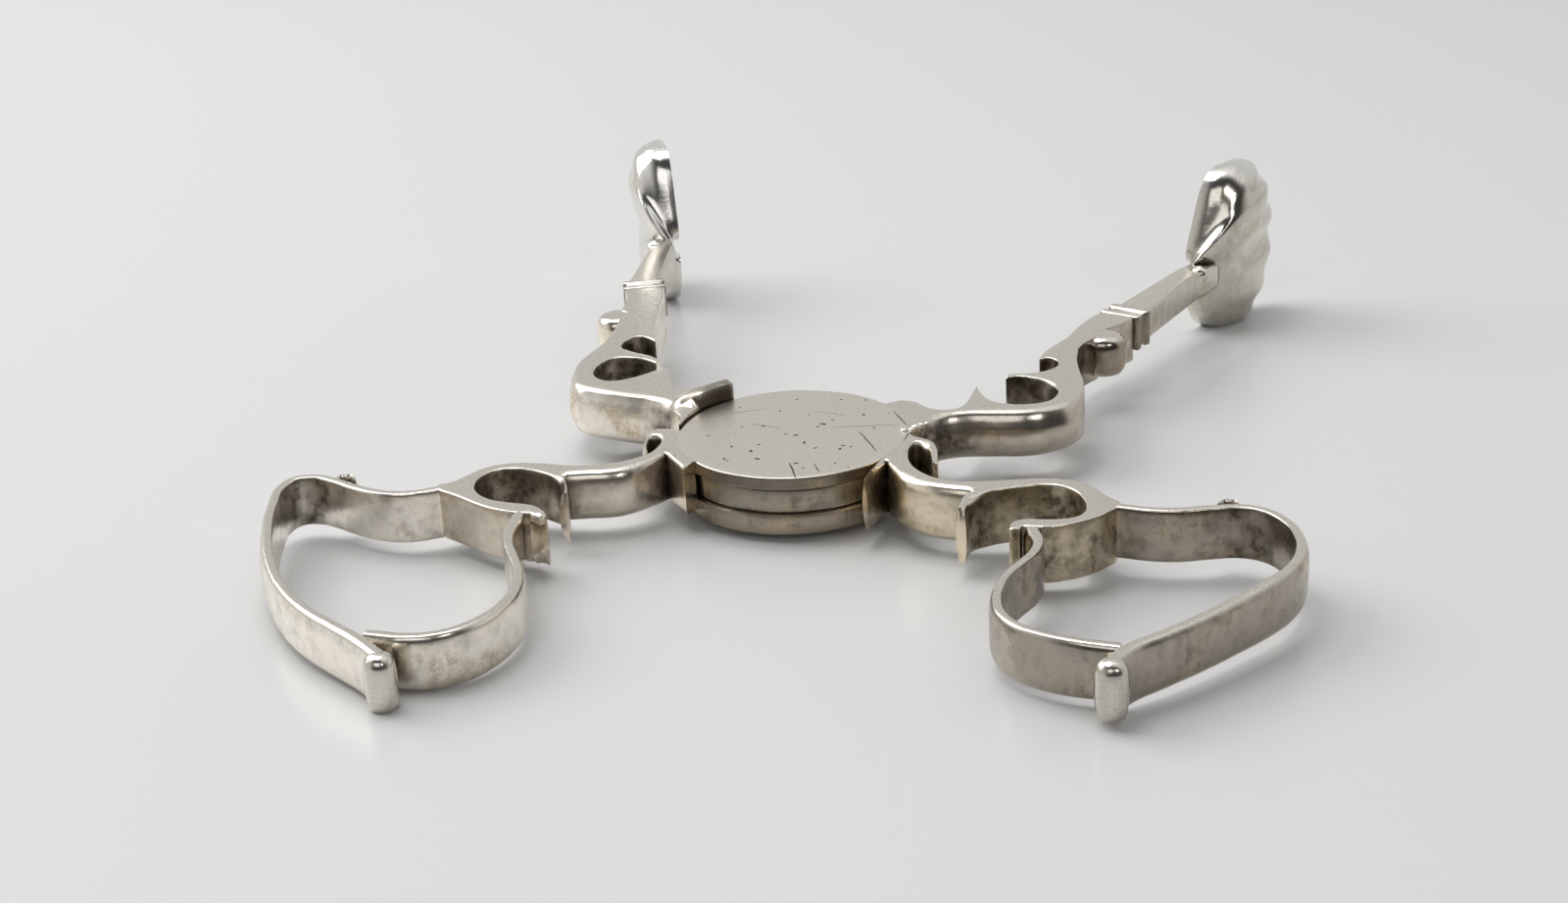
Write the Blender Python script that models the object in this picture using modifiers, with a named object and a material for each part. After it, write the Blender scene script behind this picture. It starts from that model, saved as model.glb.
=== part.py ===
"""Scissor-action sugar tongs (sugar nips) in silver, with a round box joint, scroll handles and shell grips.

Lengths are in metres, +Z is up, and the origin is on the pivot axis at the underside of the box joint.
The rest pose is the open stop. The box half has the left handle and the right arm, and the tongue half
has the right handle and the left arm, so closing turns the tongue half clockwise seen from above.
"""
import math

import bmesh
import bpy
from mathutils import Vector

MM = 0.001

# Box joint
plate_radius = 10.0 * MM
cover_thickness = 1.15 * MM
cover_skin = 0.35 * MM
floor_thickness = 1.7 * MM
tongue_thickness = 1.95 * MM
plate_play = 0.2 * MM
tongue_setback = 0.4 * MM
rim_play = 0.3 * MM
pin_radius = 1.7 * MM
pin_play = 0.08 * MM
pin_seam = 0.05 * MM
plate_edge_round = 0.12 * MM

# Scroll work
solder_seam = 0.05 * MM
scroll_module = 10.0 * MM
band_height = 4.5 * MM
tongue_half_rise = 0.45 * MM
band_edge_round = 0.16 * MM
edge_round_angle = math.radians(50)
smooth_angle = math.radians(35)
inner_band_thickness = 1.1 * MM
outer_band_thickness = 1.25 * MM
weld_distance = 0.01 * MM
knob_radius = 1.25 * MM
knob_height = 4.8 * MM
knob_drop = 0.15 * MM
knob_edge_round = 0.4 * MM
volute_radius = 2.15 * MM
volute_height = 3.9 * MM
volute_seam = 0.1 * MM

# Collars, shanks and grips
arm_lean = math.radians(3.8)
shell_leans = {"left": math.radians(3.4), "right": math.radians(4.4)}
collar_angle = math.radians(68)
collar_length = 2.6 * MM
collar_width = 4.3 * MM
collar_height = 3.5 * MM
arm_rise = 0.5 * MM
collar_groove = 0.35 * MM
shank_root_width = 3.5 * MM
shank_root_height = 3.1 * MM
shank_end_width = 2.7 * MM
shank_end_height = 2.9 * MM
shank_edge_round = 0.25 * MM
shank_length = 11.0 * MM
shell_length = 14.5 * MM
shell_width = 17.4 * MM
shell_depth = 3.9 * MM
shell_wall = 0.8 * MM
shell_rise = 1.5 * MM
flute_depth = 0.45 * MM
flute_count = 4
stem_length = 3.0 * MM
stem_bury = 1.2 * MM
stem_offset = 2.4 * MM
stem_end_share = 0.8

# Motion
closing_angle = math.radians(54.9)
closed_rim_gap = math.radians(0.8)

# Derived heights and angles
slot_top = floor_thickness + 2 * plate_play + tongue_thickness
box_height = slot_top + cover_thickness
tongue_bottom = floor_thickness + plate_play
band_middle = box_height - band_height / 2
lean_difference = shell_leans["right"] - shell_leans["left"]
rim_angle = (math.pi - closing_angle - closed_rim_gap + lean_difference) / 2

SILVER = (0.76, 0.74, 0.70)
WORN_SILVER = (0.70, 0.68, 0.64)
POLISHED_SILVER = (0.84, 0.82, 0.78)
SATIN = 0.3
WORN = 0.36
POLISHED = 0.2

CORNER = True
SMOOTH = False

# Plan outlines as shares of the scroll module. The first share runs outward from the plate rim and the second
# runs towards the grips. A third entry marks a sharp corner.
handle_scroll_shares = {
    "left": [
        (-0.235, -0.85, CORNER), (0.00, -0.545, CORNER), (0.08, -0.70), (0.16, -0.83), (0.25, -0.93),
        (0.38, -1.00), (0.56, -1.04), (0.745, -1.085, CORNER), (0.69, -1.22), (0.64, -1.34), (0.61, -1.47, CORNER),
        (0.665, -1.475, CORNER), (0.70, -1.34), (0.76, -1.19), (0.86, -1.10), (0.96, -1.045), (1.08, -1.005),
        (1.19, -0.99), (1.36, -1.045), (1.45, -1.18), (1.45, -1.34), (1.39, -1.48), (1.26, -1.60), (1.10, -1.66),
        (0.95, -1.685), (0.82, -1.71), (0.72, -1.785), (0.66, -1.865, CORNER), (0.645, -1.94, CORNER),
        (0.785, -1.91, CORNER), (0.795, -1.865, CORNER), (0.97, -1.865, CORNER), (1.07, -1.835), (1.17, -1.80),
        (1.32, -1.72), (1.48, -1.62), (1.60, -1.55), (1.715, -1.49, CORNER), (1.775, -1.385, CORNER),
        (1.66, -1.30), (1.58, -1.16), (1.50, -1.02), (1.37, -0.92), (1.20, -0.865), (1.03, -0.855), (0.81, -0.875),
        (0.60, -0.865), (0.44, -0.81), (0.30, -0.725), (0.21, -0.64), (0.145, -0.555), (0.115, -0.45),
        (0.11, -0.33), (0.14, -0.20), (0.185, -0.165), (0.225, -0.21), (0.225, -0.32), (0.195, -0.45),
        (0.165, -0.525, CORNER), (0.20, -0.555, CORNER), (0.24, -0.45), (0.27, -0.29), (0.28, -0.15),
        (0.25, -0.05), (0.20, -0.02),
    ],
    "right": [
        (-0.14, -0.72), (-0.195, -1.02, CORNER), (-0.145, -0.88), (-0.105, -0.75), (-0.065, -0.63, CORNER),
        (0.02, -0.80), (0.11, -0.94), (0.20, -1.02), (0.29, -1.08), (0.38, -1.12), (0.54, -1.155),
        (0.71, -1.175, CORNER), (0.675, -1.30), (0.66, -1.42), (0.66, -1.55, CORNER), (0.72, -1.56, CORNER),
        (0.735, -1.41), (0.795, -1.275), (0.87, -1.19), (0.96, -1.135), (1.17, -1.045), (1.29, -1.01),
        (1.41, -1.02), (1.53, -1.09), (1.62, -1.235), (1.665, -1.40), (1.655, -1.52), (1.60, -1.60), (1.50, -1.65),
        (1.36, -1.675), (1.21, -1.685), (1.135, -1.73), (1.105, -1.80, CORNER), (1.115, -1.885, CORNER),
        (1.19, -1.865, CORNER), (1.205, -1.825, CORNER), (1.365, -1.825, CORNER), (1.45, -1.80), (1.56, -1.75),
        (1.67, -1.68), (1.77, -1.585), (1.85, -1.475), (1.905, -1.40, CORNER), (1.925, -1.28, CORNER),
        (1.83, -1.20), (1.725, -1.06), (1.60, -0.94), (1.43, -0.885), (1.23, -0.885), (1.04, -0.93),
        (0.84, -0.975), (0.65, -1.00), (0.50, -0.985), (0.40, -0.95), (0.30, -0.88), (0.20, -0.77), (0.125, -0.62), (0.09, -0.46),
        (0.085, -0.31), (0.115, -0.225), (0.19, -0.265), (0.25, -0.36), (0.29, -0.50), (0.33, -0.68, CORNER),
        (0.37, -0.68, CORNER), (0.345, -0.48), (0.305, -0.30), (0.25, -0.19), (0.16, -0.13), (0.08, -0.09),
    ],
}
arm_front_shares = {
    "left": [
        (0.05, 0.17), (0.13, 0.31), (0.24, 0.46), (0.42, 0.555), (0.70, 0.62), (0.98, 0.70), (1.20, 0.80),
        (1.31, 0.97), (1.35, 1.20), (1.355, 1.42), (1.33, 1.63), (1.285, 1.86), (1.262, 2.05), (1.265, 2.30),
    ],
    "right": [
        (0.05, 0.18), (0.12, 0.33), (0.26, 0.47), (0.43, 0.545), (0.72, 0.585), (0.98, 0.62), (1.20, 0.735),
        (1.345, 0.89), (1.405, 1.10), (1.395, 1.38), (1.335, 1.66), (1.285, 1.92), (1.27, 2.12), (1.275, 2.32),
    ],
}
arm_back_shares = {
    "left": [
        (1.53, 3.14), (1.676, 3.349, CORNER), (1.324, 3.491, CORNER), (1.21, 3.27), (1.12, 3.06), (1.02, 2.83),
        (0.94, 2.60), (0.865, 2.34), (0.81, 2.16), (0.775, 2.04, CORNER), (0.84, 2.10), (0.92, 2.15), (1.00, 2.14),
        (1.06, 2.05), (1.075, 1.93), (1.045, 1.83), (0.95, 1.755), (0.82, 1.69), (0.70, 1.635),
        (0.60, 1.535, CORNER), (0.615, 1.465, CORNER), (0.68, 1.515), (0.77, 1.56), (0.89, 1.58), (1.01, 1.57),
        (1.09, 1.52), (1.14, 1.42), (1.155, 1.30), (1.14, 1.17), (1.095, 1.075), (1.03, 1.01), (0.95, 0.975),
        (0.85, 0.995), (0.75, 1.06), (0.67, 1.14), (0.58, 1.26), (0.505, 1.385, CORNER), (0.44, 1.27),
        (0.38, 1.10), (0.325, 0.94), (0.25, 0.84), (0.15, 0.83), (0.05, 0.89), (-0.06, 0.92),
        (-0.18, 0.89, CORNER),
    ],
    "right": [
        (1.50, 3.07), (1.546, 3.259, CORNER), (1.194, 3.401, CORNER), (1.15, 3.20), (1.135, 2.95), (1.13, 2.75),
        (1.115, 2.56), (1.06, 2.39), (0.99, 2.23), (0.95, 2.09), (0.93, 1.95, CORNER), (1.00, 1.975),
        (1.07, 1.945), (1.113, 1.86), (1.095, 1.745), (1.035, 1.67), (0.96, 1.615), (0.83, 1.567), (0.74, 1.555),
        (0.675, 1.505, CORNER), (0.68, 1.445, CORNER), (0.75, 1.485), (0.84, 1.49), (0.93, 1.462), (1.024, 1.42),
        (1.103, 1.34), (1.156, 1.248), (1.185, 1.143), (1.177, 1.047), (1.136, 0.938), (1.07, 0.875),
        (0.974, 0.832), (0.872, 0.812), (0.75, 0.825), (0.677, 0.845), (0.60, 0.906), (0.535, 1.00),
        (0.485, 1.11), (0.443, 1.235, CORNER), (0.427, 1.08), (0.415, 0.94), (0.395, 0.79), (0.345, 0.68),
        (0.28, 0.637), (0.20, 0.63), (0.11, 0.657), (0.03, 0.72), (-0.05, 0.80), (-0.19, 0.83, CORNER),
    ],
}

# Centre lines of the finger rings, which were bent by hand and differ
ring_inner_shares = {
    "left": [(0.885, -1.90), (0.875, -2.12), (0.82, -2.36), (0.70, -2.61), (0.58, -2.85), (0.50, -3.13),
             (0.50, -3.42), (0.57, -3.68), (0.71, -3.90), (0.88, -4.02), (1.09, -4.065), (1.29, -4.05)],
    "right": [(1.29, -1.872), (1.345, -2.04), (1.335, -2.25), (1.26, -2.45), (1.185, -2.65), (1.15, -2.88),
              (1.155, -3.08), (1.21, -3.29), (1.34, -3.47), (1.54, -3.60), (1.78, -3.68), (2.02, -3.71)],
}
ring_outer_shares = {
    "left": [(1.775, -1.45), (1.92, -1.53), (2.10, -1.565), (2.29, -1.535), (2.49, -1.455), (2.70, -1.35),
             (2.91, -1.29), (3.06, -1.34), (3.125, -1.51), (3.06, -1.86), (2.89, -2.37), (2.63, -2.93),
             (2.32, -3.39), (2.00, -3.71), (1.68, -3.945), (1.43, -4.12), (1.16, -4.35)],
    "right": [(1.95, -1.35), (2.15, -1.385), (2.37, -1.385), (2.62, -1.315), (2.86, -1.265), (3.07, -1.33),
              (3.235, -1.52), (3.325, -1.78), (3.335, -2.06), (3.26, -2.35), (3.12, -2.60), (2.91, -2.89),
              (2.65, -3.22), (2.40, -3.50), (2.19, -3.72), (2.07, -3.93)],
}
volute_place_shares = {"left": (1.40, 2.74), "right": (1.42, 2.72)}
volute_seat_angles = (math.radians(238), math.radians(96))
collar_place_shares = {"left": (1.505, 3.432), "right": (1.376, 3.345)}
handle_root_start = math.radians(-1.5)
handle_root_ends = {"left": math.radians(-44.5), "right": math.radians(-28)}
arm_root_angles = (math.radians(1.5), math.radians(47))
ear_inset = math.radians(3)
lean_shares = (2.3, 3.7)

# The stem of a shell grip meets its bowl at this distance from the pivot
collar_reach = math.hypot(plate_radius + collar_place_shares["left"][0] * scroll_module,
                          collar_place_shares["left"][1] * scroll_module)
shell_root_reach = collar_reach + collar_length + shank_length + stem_length

# Shape shares of the shell, the volute and the mouldings
shell_fan = math.radians(100)
rim_round_share = 0.46
stem_half_share = 0.09
dome_start = 0.75
dome_power = 5
volute_bulge_shares = [(0.72, 1), (0.93, 0.82), (1, 0.5), (0.93, 0.18), (0.72, 0)]
collar_stations = [(0, 0), (0.06, 1), (0.34, 1), (0.42, 0), (0.58, 0), (0.66, 1), (0.94, 1), (1, 0)]
band_section_shares = [(-0.5, -0.94), (-0.5, 0.94), (-0.3, 1), (0.1, 0.86), (0.38, 0.5), (0.5, 0),
                       (0.38, -0.5), (0.1, -0.86), (-0.3, -1)]

curve_steps = 3
arc_steps = 3
plate_steps = 64
turn_steps = 24
shank_rows = 5
shell_rows = 10
shell_columns = 32


def reach(out_share, forward_share):
    """A plan point: outward from the plate rim and towards the grips."""
    return Vector((plate_radius + out_share * scroll_module, forward_share * scroll_module))


def heading(angle):
    """A plan direction."""
    return Vector((math.cos(angle), math.sin(angle)))


def smoothstep(value, start, end):
    """0 before start, 1 after end, smooth between."""
    t = min(max((value - start) / (end - start), 0), 1)
    return t * t * (3 - 2 * t)


def turned(point, angle):
    """A plan point turned about the pivot."""
    c, s = math.cos(angle), math.sin(angle)
    return Vector((c * point.x - s * point.y, s * point.x + c * point.y))


def leaned(point, lean):
    """An arm point after the hand-set lean, which grows from the volute to the collar."""
    weight = smoothstep(point.y / scroll_module, *lean_shares)
    return turned(point, lean * weight)


def typed(entries, move=None):
    """Outline points with their corner marks, moved by a function."""
    points = [(reach(entry[0], entry[1]), len(entry) > 2) for entry in entries]
    return [(move(point), mark) for point, mark in points] if move else points


def arc_points(radius, start, end, steps):
    """Points along an arc about the pivot, smooth but at its two ends."""
    angles = [start + (end - start) * i / steps for i in range(steps + 1)]
    return [(heading(angle) * radius, angle in (angles[0], angles[-1])) for angle in angles]


# Scene helpers
def clear_scene():
    for item in list(bpy.data.objects):
        bpy.data.objects.remove(item, do_unlink=True)


def new_collection(name):
    collection = bpy.data.collections.new(name)
    bpy.context.scene.collection.children.link(collection)
    return collection


def silver(name, colour, roughness):
    material = bpy.data.materials.new(name)
    material.use_nodes = True
    shader = material.node_tree.nodes["Principled BSDF"]
    shader.inputs["Base Color"].default_value = (*colour, 1)
    shader.inputs["Metallic"].default_value = 1
    shader.inputs["Roughness"].default_value = roughness
    return material


def add_object(name, data, parent=None, colour=SILVER, roughness=SATIN):
    item = bpy.data.objects.new(name, data)
    parts.objects.link(item)
    item.parent = parent
    data.materials.append(silver(name + "_silver", colour, roughness))
    if item.type == "MESH":
        data.shade_smooth()
        data.set_sharp_from_angle(angle=smooth_angle)
    return item


def add_guide(name, data):
    """A helper object that shapes another one and isn't part of the model."""
    item = bpy.data.objects.new(name, data)
    guides.objects.link(item)
    item.hide_render = True
    item.display_type = "WIRE"
    return item


def add_empty(name, parent=None, location=(0, 0, 0)):
    item = bpy.data.objects.new(name, None)
    parts.objects.link(item)
    item.parent = parent
    item.location = location
    return item


def add_weld(item):
    weld = item.modifiers.new("weld", "WELD")
    weld.merge_threshold = weld_distance


def add_bevel(item, width):
    bevel = item.modifiers.new("edge_round", "BEVEL")
    bevel.width = width
    bevel.segments = 1
    bevel.limit_method = "ANGLE"
    bevel.angle_limit = edge_round_angle


def add_union(item, other):
    union = item.modifiers.new("joined", "BOOLEAN")
    union.operation = "UNION"
    union.solver = "EXACT"
    union.object = other


def fill_spline(curve, points, sign, cyclic):
    """A Bezier spline through typed points, smooth but at corners, mirrored by sign."""
    if sign < 0 and cyclic:
        points = points[::-1]
    spline = curve.splines.new("BEZIER")
    spline.bezier_points.add(len(points) - 1)
    spline.use_cyclic_u = cyclic
    for knot, (point, is_corner) in zip(spline.bezier_points, points):
        knot.co = (sign * point.x, point.y, 0)
        kind = "VECTOR" if is_corner else "AUTO"
        knot.handle_left_type = kind
        knot.handle_right_type = kind


def plate_curve(name, outlines, sign, thickness):
    """A flat curve filled between its outlines, centred on its own height."""
    curve = bpy.data.curves.new(name, "CURVE")
    curve.dimensions = "2D"
    curve.fill_mode = "BOTH"
    curve.extrude = thickness / 2
    curve.resolution_u = curve_steps
    for outline in outlines:
        fill_spline(curve, outline, sign, True)
    return curve


def meshed(curve, name):
    """The curve as a welded mesh, for a boolean."""
    holder = add_guide(name + "_line", curve)
    bpy.context.view_layer.update()
    mesh = bpy.data.meshes.new_from_object(holder.evaluated_get(bpy.context.evaluated_depsgraph_get()))
    bpy.data.objects.remove(holder, do_unlink=True)
    shape = bmesh.new()
    shape.from_mesh(mesh)
    bmesh.ops.remove_doubles(shape, verts=shape.verts, dist=weld_distance)
    bmesh.ops.recalc_face_normals(shape, faces=shape.faces)
    shape.to_mesh(mesh)
    shape.free()
    mesh.materials.clear()
    mesh.name = name
    return mesh


def turned_mesh(name, outline):
    """A half profile of radius and height pairs, ready to be turned; its axis side stays open."""
    mesh = bpy.data.meshes.new(name)
    shape = bmesh.new()
    ring = [shape.verts.new((x, 0, z)) for x, z in outline]
    for a, b in zip(ring, ring[1:] + ring[:1]):
        if a.co.x > 0 or b.co.x > 0:
            shape.edges.new((a, b))
    shape.to_mesh(mesh)
    shape.free()
    return mesh


def add_turn(item, steps):
    screw = item.modifiers.new("turn", "SCREW")
    screw.steps = steps
    screw.render_steps = steps
    screw.use_merge_vertices = True
    screw.merge_threshold = weld_distance


def turned_solid(name, outline, bottom, parent, steps, colour=SILVER, roughness=SATIN):
    """A body turned about its own upright axis."""
    item = add_object(name, turned_mesh(name, outline), parent, colour, roughness)
    item.location.z = bottom
    add_turn(item, steps)
    return item


def loft_mesh(name, rows):
    """A closed body through rows of points, each row a closed loop."""
    mesh = bpy.data.meshes.new(name)
    shape = bmesh.new()
    loops = [[shape.verts.new(point) for point in row] for row in rows]
    for low, high in zip(loops, loops[1:]):
        for i in range(len(low)):
            j = (i + 1) % len(low)
            shape.faces.new((low[i], low[j], high[j], high[i]))
    shape.faces.new(loops[0][::-1])
    shape.faces.new(loops[-1])
    bmesh.ops.recalc_face_normals(shape, faces=shape.faces)
    shape.to_mesh(mesh)
    shape.free()
    return mesh


def bowl_mesh(name, outer, inner):
    """A closed bowl between an outer and an inner skin, each given in rows of points."""
    mesh = bpy.data.meshes.new(name)
    shape = bmesh.new()
    skins = [[[shape.verts.new(point) for point in row] for row in rows] for rows in (outer, inner)]
    for lines in skins:
        for low, high in zip(lines, lines[1:]):
            for i in range(len(low) - 1):
                shape.faces.new((low[i], low[i + 1], high[i + 1], high[i]))
    edges = []
    for lines in skins:
        left_side = [line[0] for line in lines]
        right_side = [line[-1] for line in lines]
        edges.append(lines[0] + right_side[1:] + lines[-1][-2::-1] + left_side[-2:0:-1])
    for i in range(len(edges[0])):
        j = (i + 1) % len(edges[0])
        shape.faces.new((edges[0][i], edges[0][j], edges[1][j], edges[1][i]))
    bmesh.ops.recalc_face_normals(shape, faces=shape.faces)
    shape.to_mesh(mesh)
    shape.free()
    return mesh


def bar_row(centre, along, width, height, sign, level):
    """The four corners of an upright bar section at a plan point."""
    across = Vector((along.y, -along.x)) * (width / 2)
    corners = [(across, height / 2), (-across, height / 2), (-across, -height / 2), (across, -height / 2)]
    return [(sign * (centre.x + side.x), centre.y + side.y, level + up) for side, up in corners]


# Box joint pieces
def rim_profile(thickness):
    """The outer side of a round plate, its two edges eased."""
    inner = plate_radius - plate_edge_round
    return [(inner, thickness), (plate_radius, thickness - plate_edge_round), (plate_radius, plate_edge_round),
            (inner, 0)]


def box_plates(box_half):
    """The floor, drilled through, and the cover, drilled blind from below, so that its top is unbroken."""
    hole = pin_radius + pin_seam
    outline = [(hole, floor_thickness)] + rim_profile(floor_thickness) + [(hole, 0)]
    turned_solid("box_floor_plate", outline, 0, box_half, plate_steps)
    blind = cover_thickness - cover_skin
    outline = [(0, cover_thickness)] + rim_profile(cover_thickness) + [(hole, 0), (hole, blind), (0, blind)]
    turned_solid("box_cover_plate", outline, slot_top, box_half, plate_steps)
    outline = [(0, slot_top + blind), (pin_radius, slot_top + blind), (pin_radius, 0), (0, 0)]
    turned_solid("pivot_pin", outline, 0, box_half, turn_steps, WORN_SILVER, WORN)


def tongue_outline():
    """The tongue disc with two ears that reach the tongue half's castings."""
    disc = plate_radius - tongue_setback
    ear = plate_radius + rim_play - solder_seam
    handle = (handle_root_ends["right"] + ear_inset, handle_root_start - ear_inset)
    arm = (math.pi - arm_root_angles[1] + ear_inset, math.pi - arm_root_angles[0] - ear_inset)
    points = arc_points(ear, *handle, arc_steps)
    points += arc_points(disc, handle[1], arm[0], 3 * arc_steps)
    points += arc_points(ear, *arm, arc_steps)
    points += arc_points(disc, arm[1], handle[0] + 2 * math.pi, 3 * arc_steps)
    return points


def tongue_plate(tongue_half):
    """The round middle plate that turns in the slot."""
    hole = [(point, SMOOTH) for point, _ in arc_points(pin_radius + pin_play, 2 * math.pi, 0, 2 * arc_steps)[:-1]]
    curve = plate_curve("tongue_plate", [tongue_outline(), hole], 1, tongue_thickness)
    tongue = add_object("tongue_plate", curve, tongue_half, WORN_SILVER, WORN)
    tongue.location.z = tongue_bottom + tongue_thickness / 2
    add_weld(tongue)


def section_curve(name, thickness, height):
    """The closed section of a ring band: flat towards the finger and full towards the outside."""
    curve = bpy.data.curves.new(name, "CURVE")
    curve.dimensions = "2D"
    spline = curve.splines.new("POLY")
    spline.points.add(len(band_section_shares) - 1)
    spline.use_cyclic_u = True
    for knot, (x, y) in zip(spline.points, band_section_shares):
        knot.co = (x * thickness, y * height / 2, 0, 1)
    return add_guide(name, curve)


def band_curve(name, points, sign, thickness, flip):
    """A ring band: its section swept along a smooth plan line."""
    curve = bpy.data.curves.new(name, "CURVE")
    curve.dimensions = "3D"
    curve.twist_mode = "Z_UP"
    curve.bevel_mode = "OBJECT"
    curve.bevel_object = section_curve(name + "_section", thickness * sign * flip, band_height)
    curve.use_fill_caps = True
    curve.resolution_u = curve_steps
    fill_spline(curve, points, sign, False)
    return curve


def casting(name, points, sign, parent, below):
    """A scroll casting with eased edges: band height, and as much more below as it is asked for."""
    item = add_object(name, plate_curve(name, [points], sign, band_height + below), parent)
    item.location.z = band_middle - below / 2
    add_weld(item)
    add_bevel(item, band_edge_round)


def handle_parts(side, sign, root_radius, below, parent):
    """One handle: its scroll casting and the two bands of its finger ring, the outer one with the rolled knob."""
    outline = arc_points(root_radius, handle_root_start, handle_root_ends[side], arc_steps)
    outline += typed(handle_scroll_shares[side])
    casting(side + "_handle_scroll", outline, sign, parent, below)
    name = side + "_ring_inner_band"
    inner = band_curve(name, typed(ring_inner_shares[side]), sign, inner_band_thickness, 1)
    item = add_object(name, meshed(inner, name), parent, WORN_SILVER, WORN)
    item.location.z = band_middle
    name = side + "_ring_outer_band"
    line = typed(ring_outer_shares[side])
    outer = band_curve(name, line, sign, outer_band_thickness, -1)
    item = add_object(name, meshed(outer, name), parent)
    item.location.z = band_middle
    roll = [(0, knob_height), (knob_radius, knob_height), (knob_radius, 0), (0, 0)]
    knob = add_guide(side + "_knob", turned_mesh(side + "_knob", roll))
    knob.parent = parent
    knob.location = (sign * line[-1][0].x, line[-1][0].y, band_middle - knob_height / 2 - knob_drop)
    add_turn(knob, turn_steps)
    add_bevel(knob, knob_edge_round)
    add_union(item, knob)


def shell_rows_of_points(origin, along, out, sign, level, inset):
    """A skin of a scallop in rows from the stem to the rim, its flutes fanning out. The rim is flat."""
    rows = []
    length = shell_length - 2 * inset
    half_width = shell_width / 2 - inset
    half_stem = stem_half_share * shell_width - inset
    for i in range(shell_rows + 1):
        place = i / shell_rows
        spread_share = math.sqrt(place * (2 - place))
        row = []
        for j in range(shell_columns + 1):
            fan = 2 * j / shell_columns - 1
            spread = fan * shell_fan
            far = inset + place * length * (1 - rim_round_share + rim_round_share * math.cos(spread))
            rim_side = half_width * math.sin(spread) / math.sin(min(shell_fan, math.pi / 2))
            side = half_stem * fan * (1 - place) + (rim_side + shell_rise) * spread_share
            bowl = math.sqrt(max(1 - fan * fan, 0)) * (dome_start + (1 - dome_start) * math.sin(math.pi * place))
            bowl *= 1 - place ** dome_power
            ripple = flute_depth * place * place * (1 - math.cos(2 * math.pi * flute_count * fan)) / 2
            plan = origin + along * far + out * (bowl * (shell_depth - inset) + ripple)
            row.append((sign * plan.x, plan.y, level + side))
        rows.append(row)
    return rows


def shell_grip(side, sign, stem, along, out, level, parent):
    """The scallop with its stem: its rim lies in an upright plane through the pivot axis."""
    name = side + "_shell_grip"
    skins = [shell_rows_of_points(along * shell_root_reach, along, out, sign, level, inset)
             for inset in (0, shell_wall)]
    shell = add_object(name, bowl_mesh(name, *skins), parent, POLISHED_SILVER, POLISHED)
    ends = [(stem + along * solder_seam, 1), (stem + along * (stem_length + stem_bury), stem_end_share)]
    bars = [bar_row(spot, along, shank_end_width * scale, shank_end_height * scale, sign, level)
            for spot, scale in ends]
    bar = add_guide(side + "_stem", loft_mesh(side + "_stem", bars))
    bar.parent = parent
    add_union(shell, bar)


def arm_parts(side, sign, root_radius, below, parent):
    """One arm: its scroll casting with the volute, the collar, the shank and the shell grip."""
    lean = arm_lean if side == "left" else -arm_lean
    place = leaned(reach(*volute_place_shares[side]), lean)
    seat = arc_points(volute_radius + volute_seam, *volute_seat_angles, arc_steps + 1)
    outline = arc_points(root_radius, arm_root_angles[1], arm_root_angles[0], arc_steps)
    outline += typed(arm_front_shares[side], lambda point: leaned(point, lean))
    outline += [(place + point, mark) for point, mark in seat]
    outline += typed(arm_back_shares[side], lambda point: leaned(point, lean))
    casting(side + "_arm_scroll", outline, sign, parent, below)

    bulge = [(volute_radius * r, volute_height * z) for r, z in volute_bulge_shares]
    belly = [(0, volute_height)] + bulge + [(0, 0)]
    bottom = band_middle - volute_height / 2
    volute = turned_solid(side + "_arm_volute", belly, bottom, parent, turn_steps, POLISHED_SILVER, POLISHED)
    volute.location.x = sign * place.x
    volute.location.y = place.y

    along = heading(collar_angle + lean)
    level = band_middle + arm_rise
    first = leaned(reach(*collar_place_shares[side]), lean) + along * solder_seam
    rows = []
    for step, raised in collar_stations:
        cut = 2 * collar_groove * (1 - raised)
        spot = first + along * (step * collar_length)
        rows.append(bar_row(spot, along, collar_width - cut, collar_height - cut, sign, level))
    name = side + "_arm_collar"
    add_object(name, loft_mesh(name, rows), parent)

    shell_lean = shell_leans[side] if side == "left" else -shell_leans[side]
    shell_along = heading(rim_angle + shell_lean)
    shell_out = Vector((shell_along.y, -shell_along.x))
    stem = shell_along * (shell_root_reach - stem_length) + shell_out * stem_offset
    root = first + along * (collar_length + solder_seam)
    rows = []
    for i in range(shank_rows + 1):
        t = i / shank_rows
        centre = root + (stem - root) * t
        direction = (along * (1 - t) + shell_along * t).normalized()
        width = shank_root_width + (shank_end_width - shank_root_width) * t
        height = shank_root_height + (shank_end_height - shank_root_height) * t
        rows.append(bar_row(centre, direction, width, height, sign, level))
    name = side + "_arm_shank"
    shank = add_object(name, loft_mesh(name, rows), parent)
    add_bevel(shank, shank_edge_round)
    shell_grip(side, sign, stem, shell_along, shell_out, level, parent)


def build():
    box_half = add_empty("box_half")
    tongue_half = add_empty("tongue_half")
    raised = add_empty("tongue_castings", tongue_half, (0, 0, tongue_half_rise))
    box_plates(box_half)
    tongue_plate(tongue_half)
    handle_parts("left", -1, plate_radius + solder_seam, 0, box_half)
    arm_parts("right", 1, plate_radius + solder_seam, 0, box_half)
    handle_parts("right", 1, plate_radius + rim_play, tongue_half_rise, raised)
    arm_parts("left", -1, plate_radius + rim_play, tongue_half_rise, raised)


clear_scene()
parts = new_collection("sugar_tongs")
guides = new_collection("guides")
build()
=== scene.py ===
"""Looks of a pair of silver scissor-action sugar tongs that lie open on a pale glossy table.

Plan outlines are typed in shares of the scroll module and other sizes of the tongs in millimetres.
The meshes, the camera, the table and the lamps are in metres.
"""
from functools import partial
from math import atan2, ceil, copysign, cos, degrees, exp, hypot, pi, radians, sin, sqrt

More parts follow.
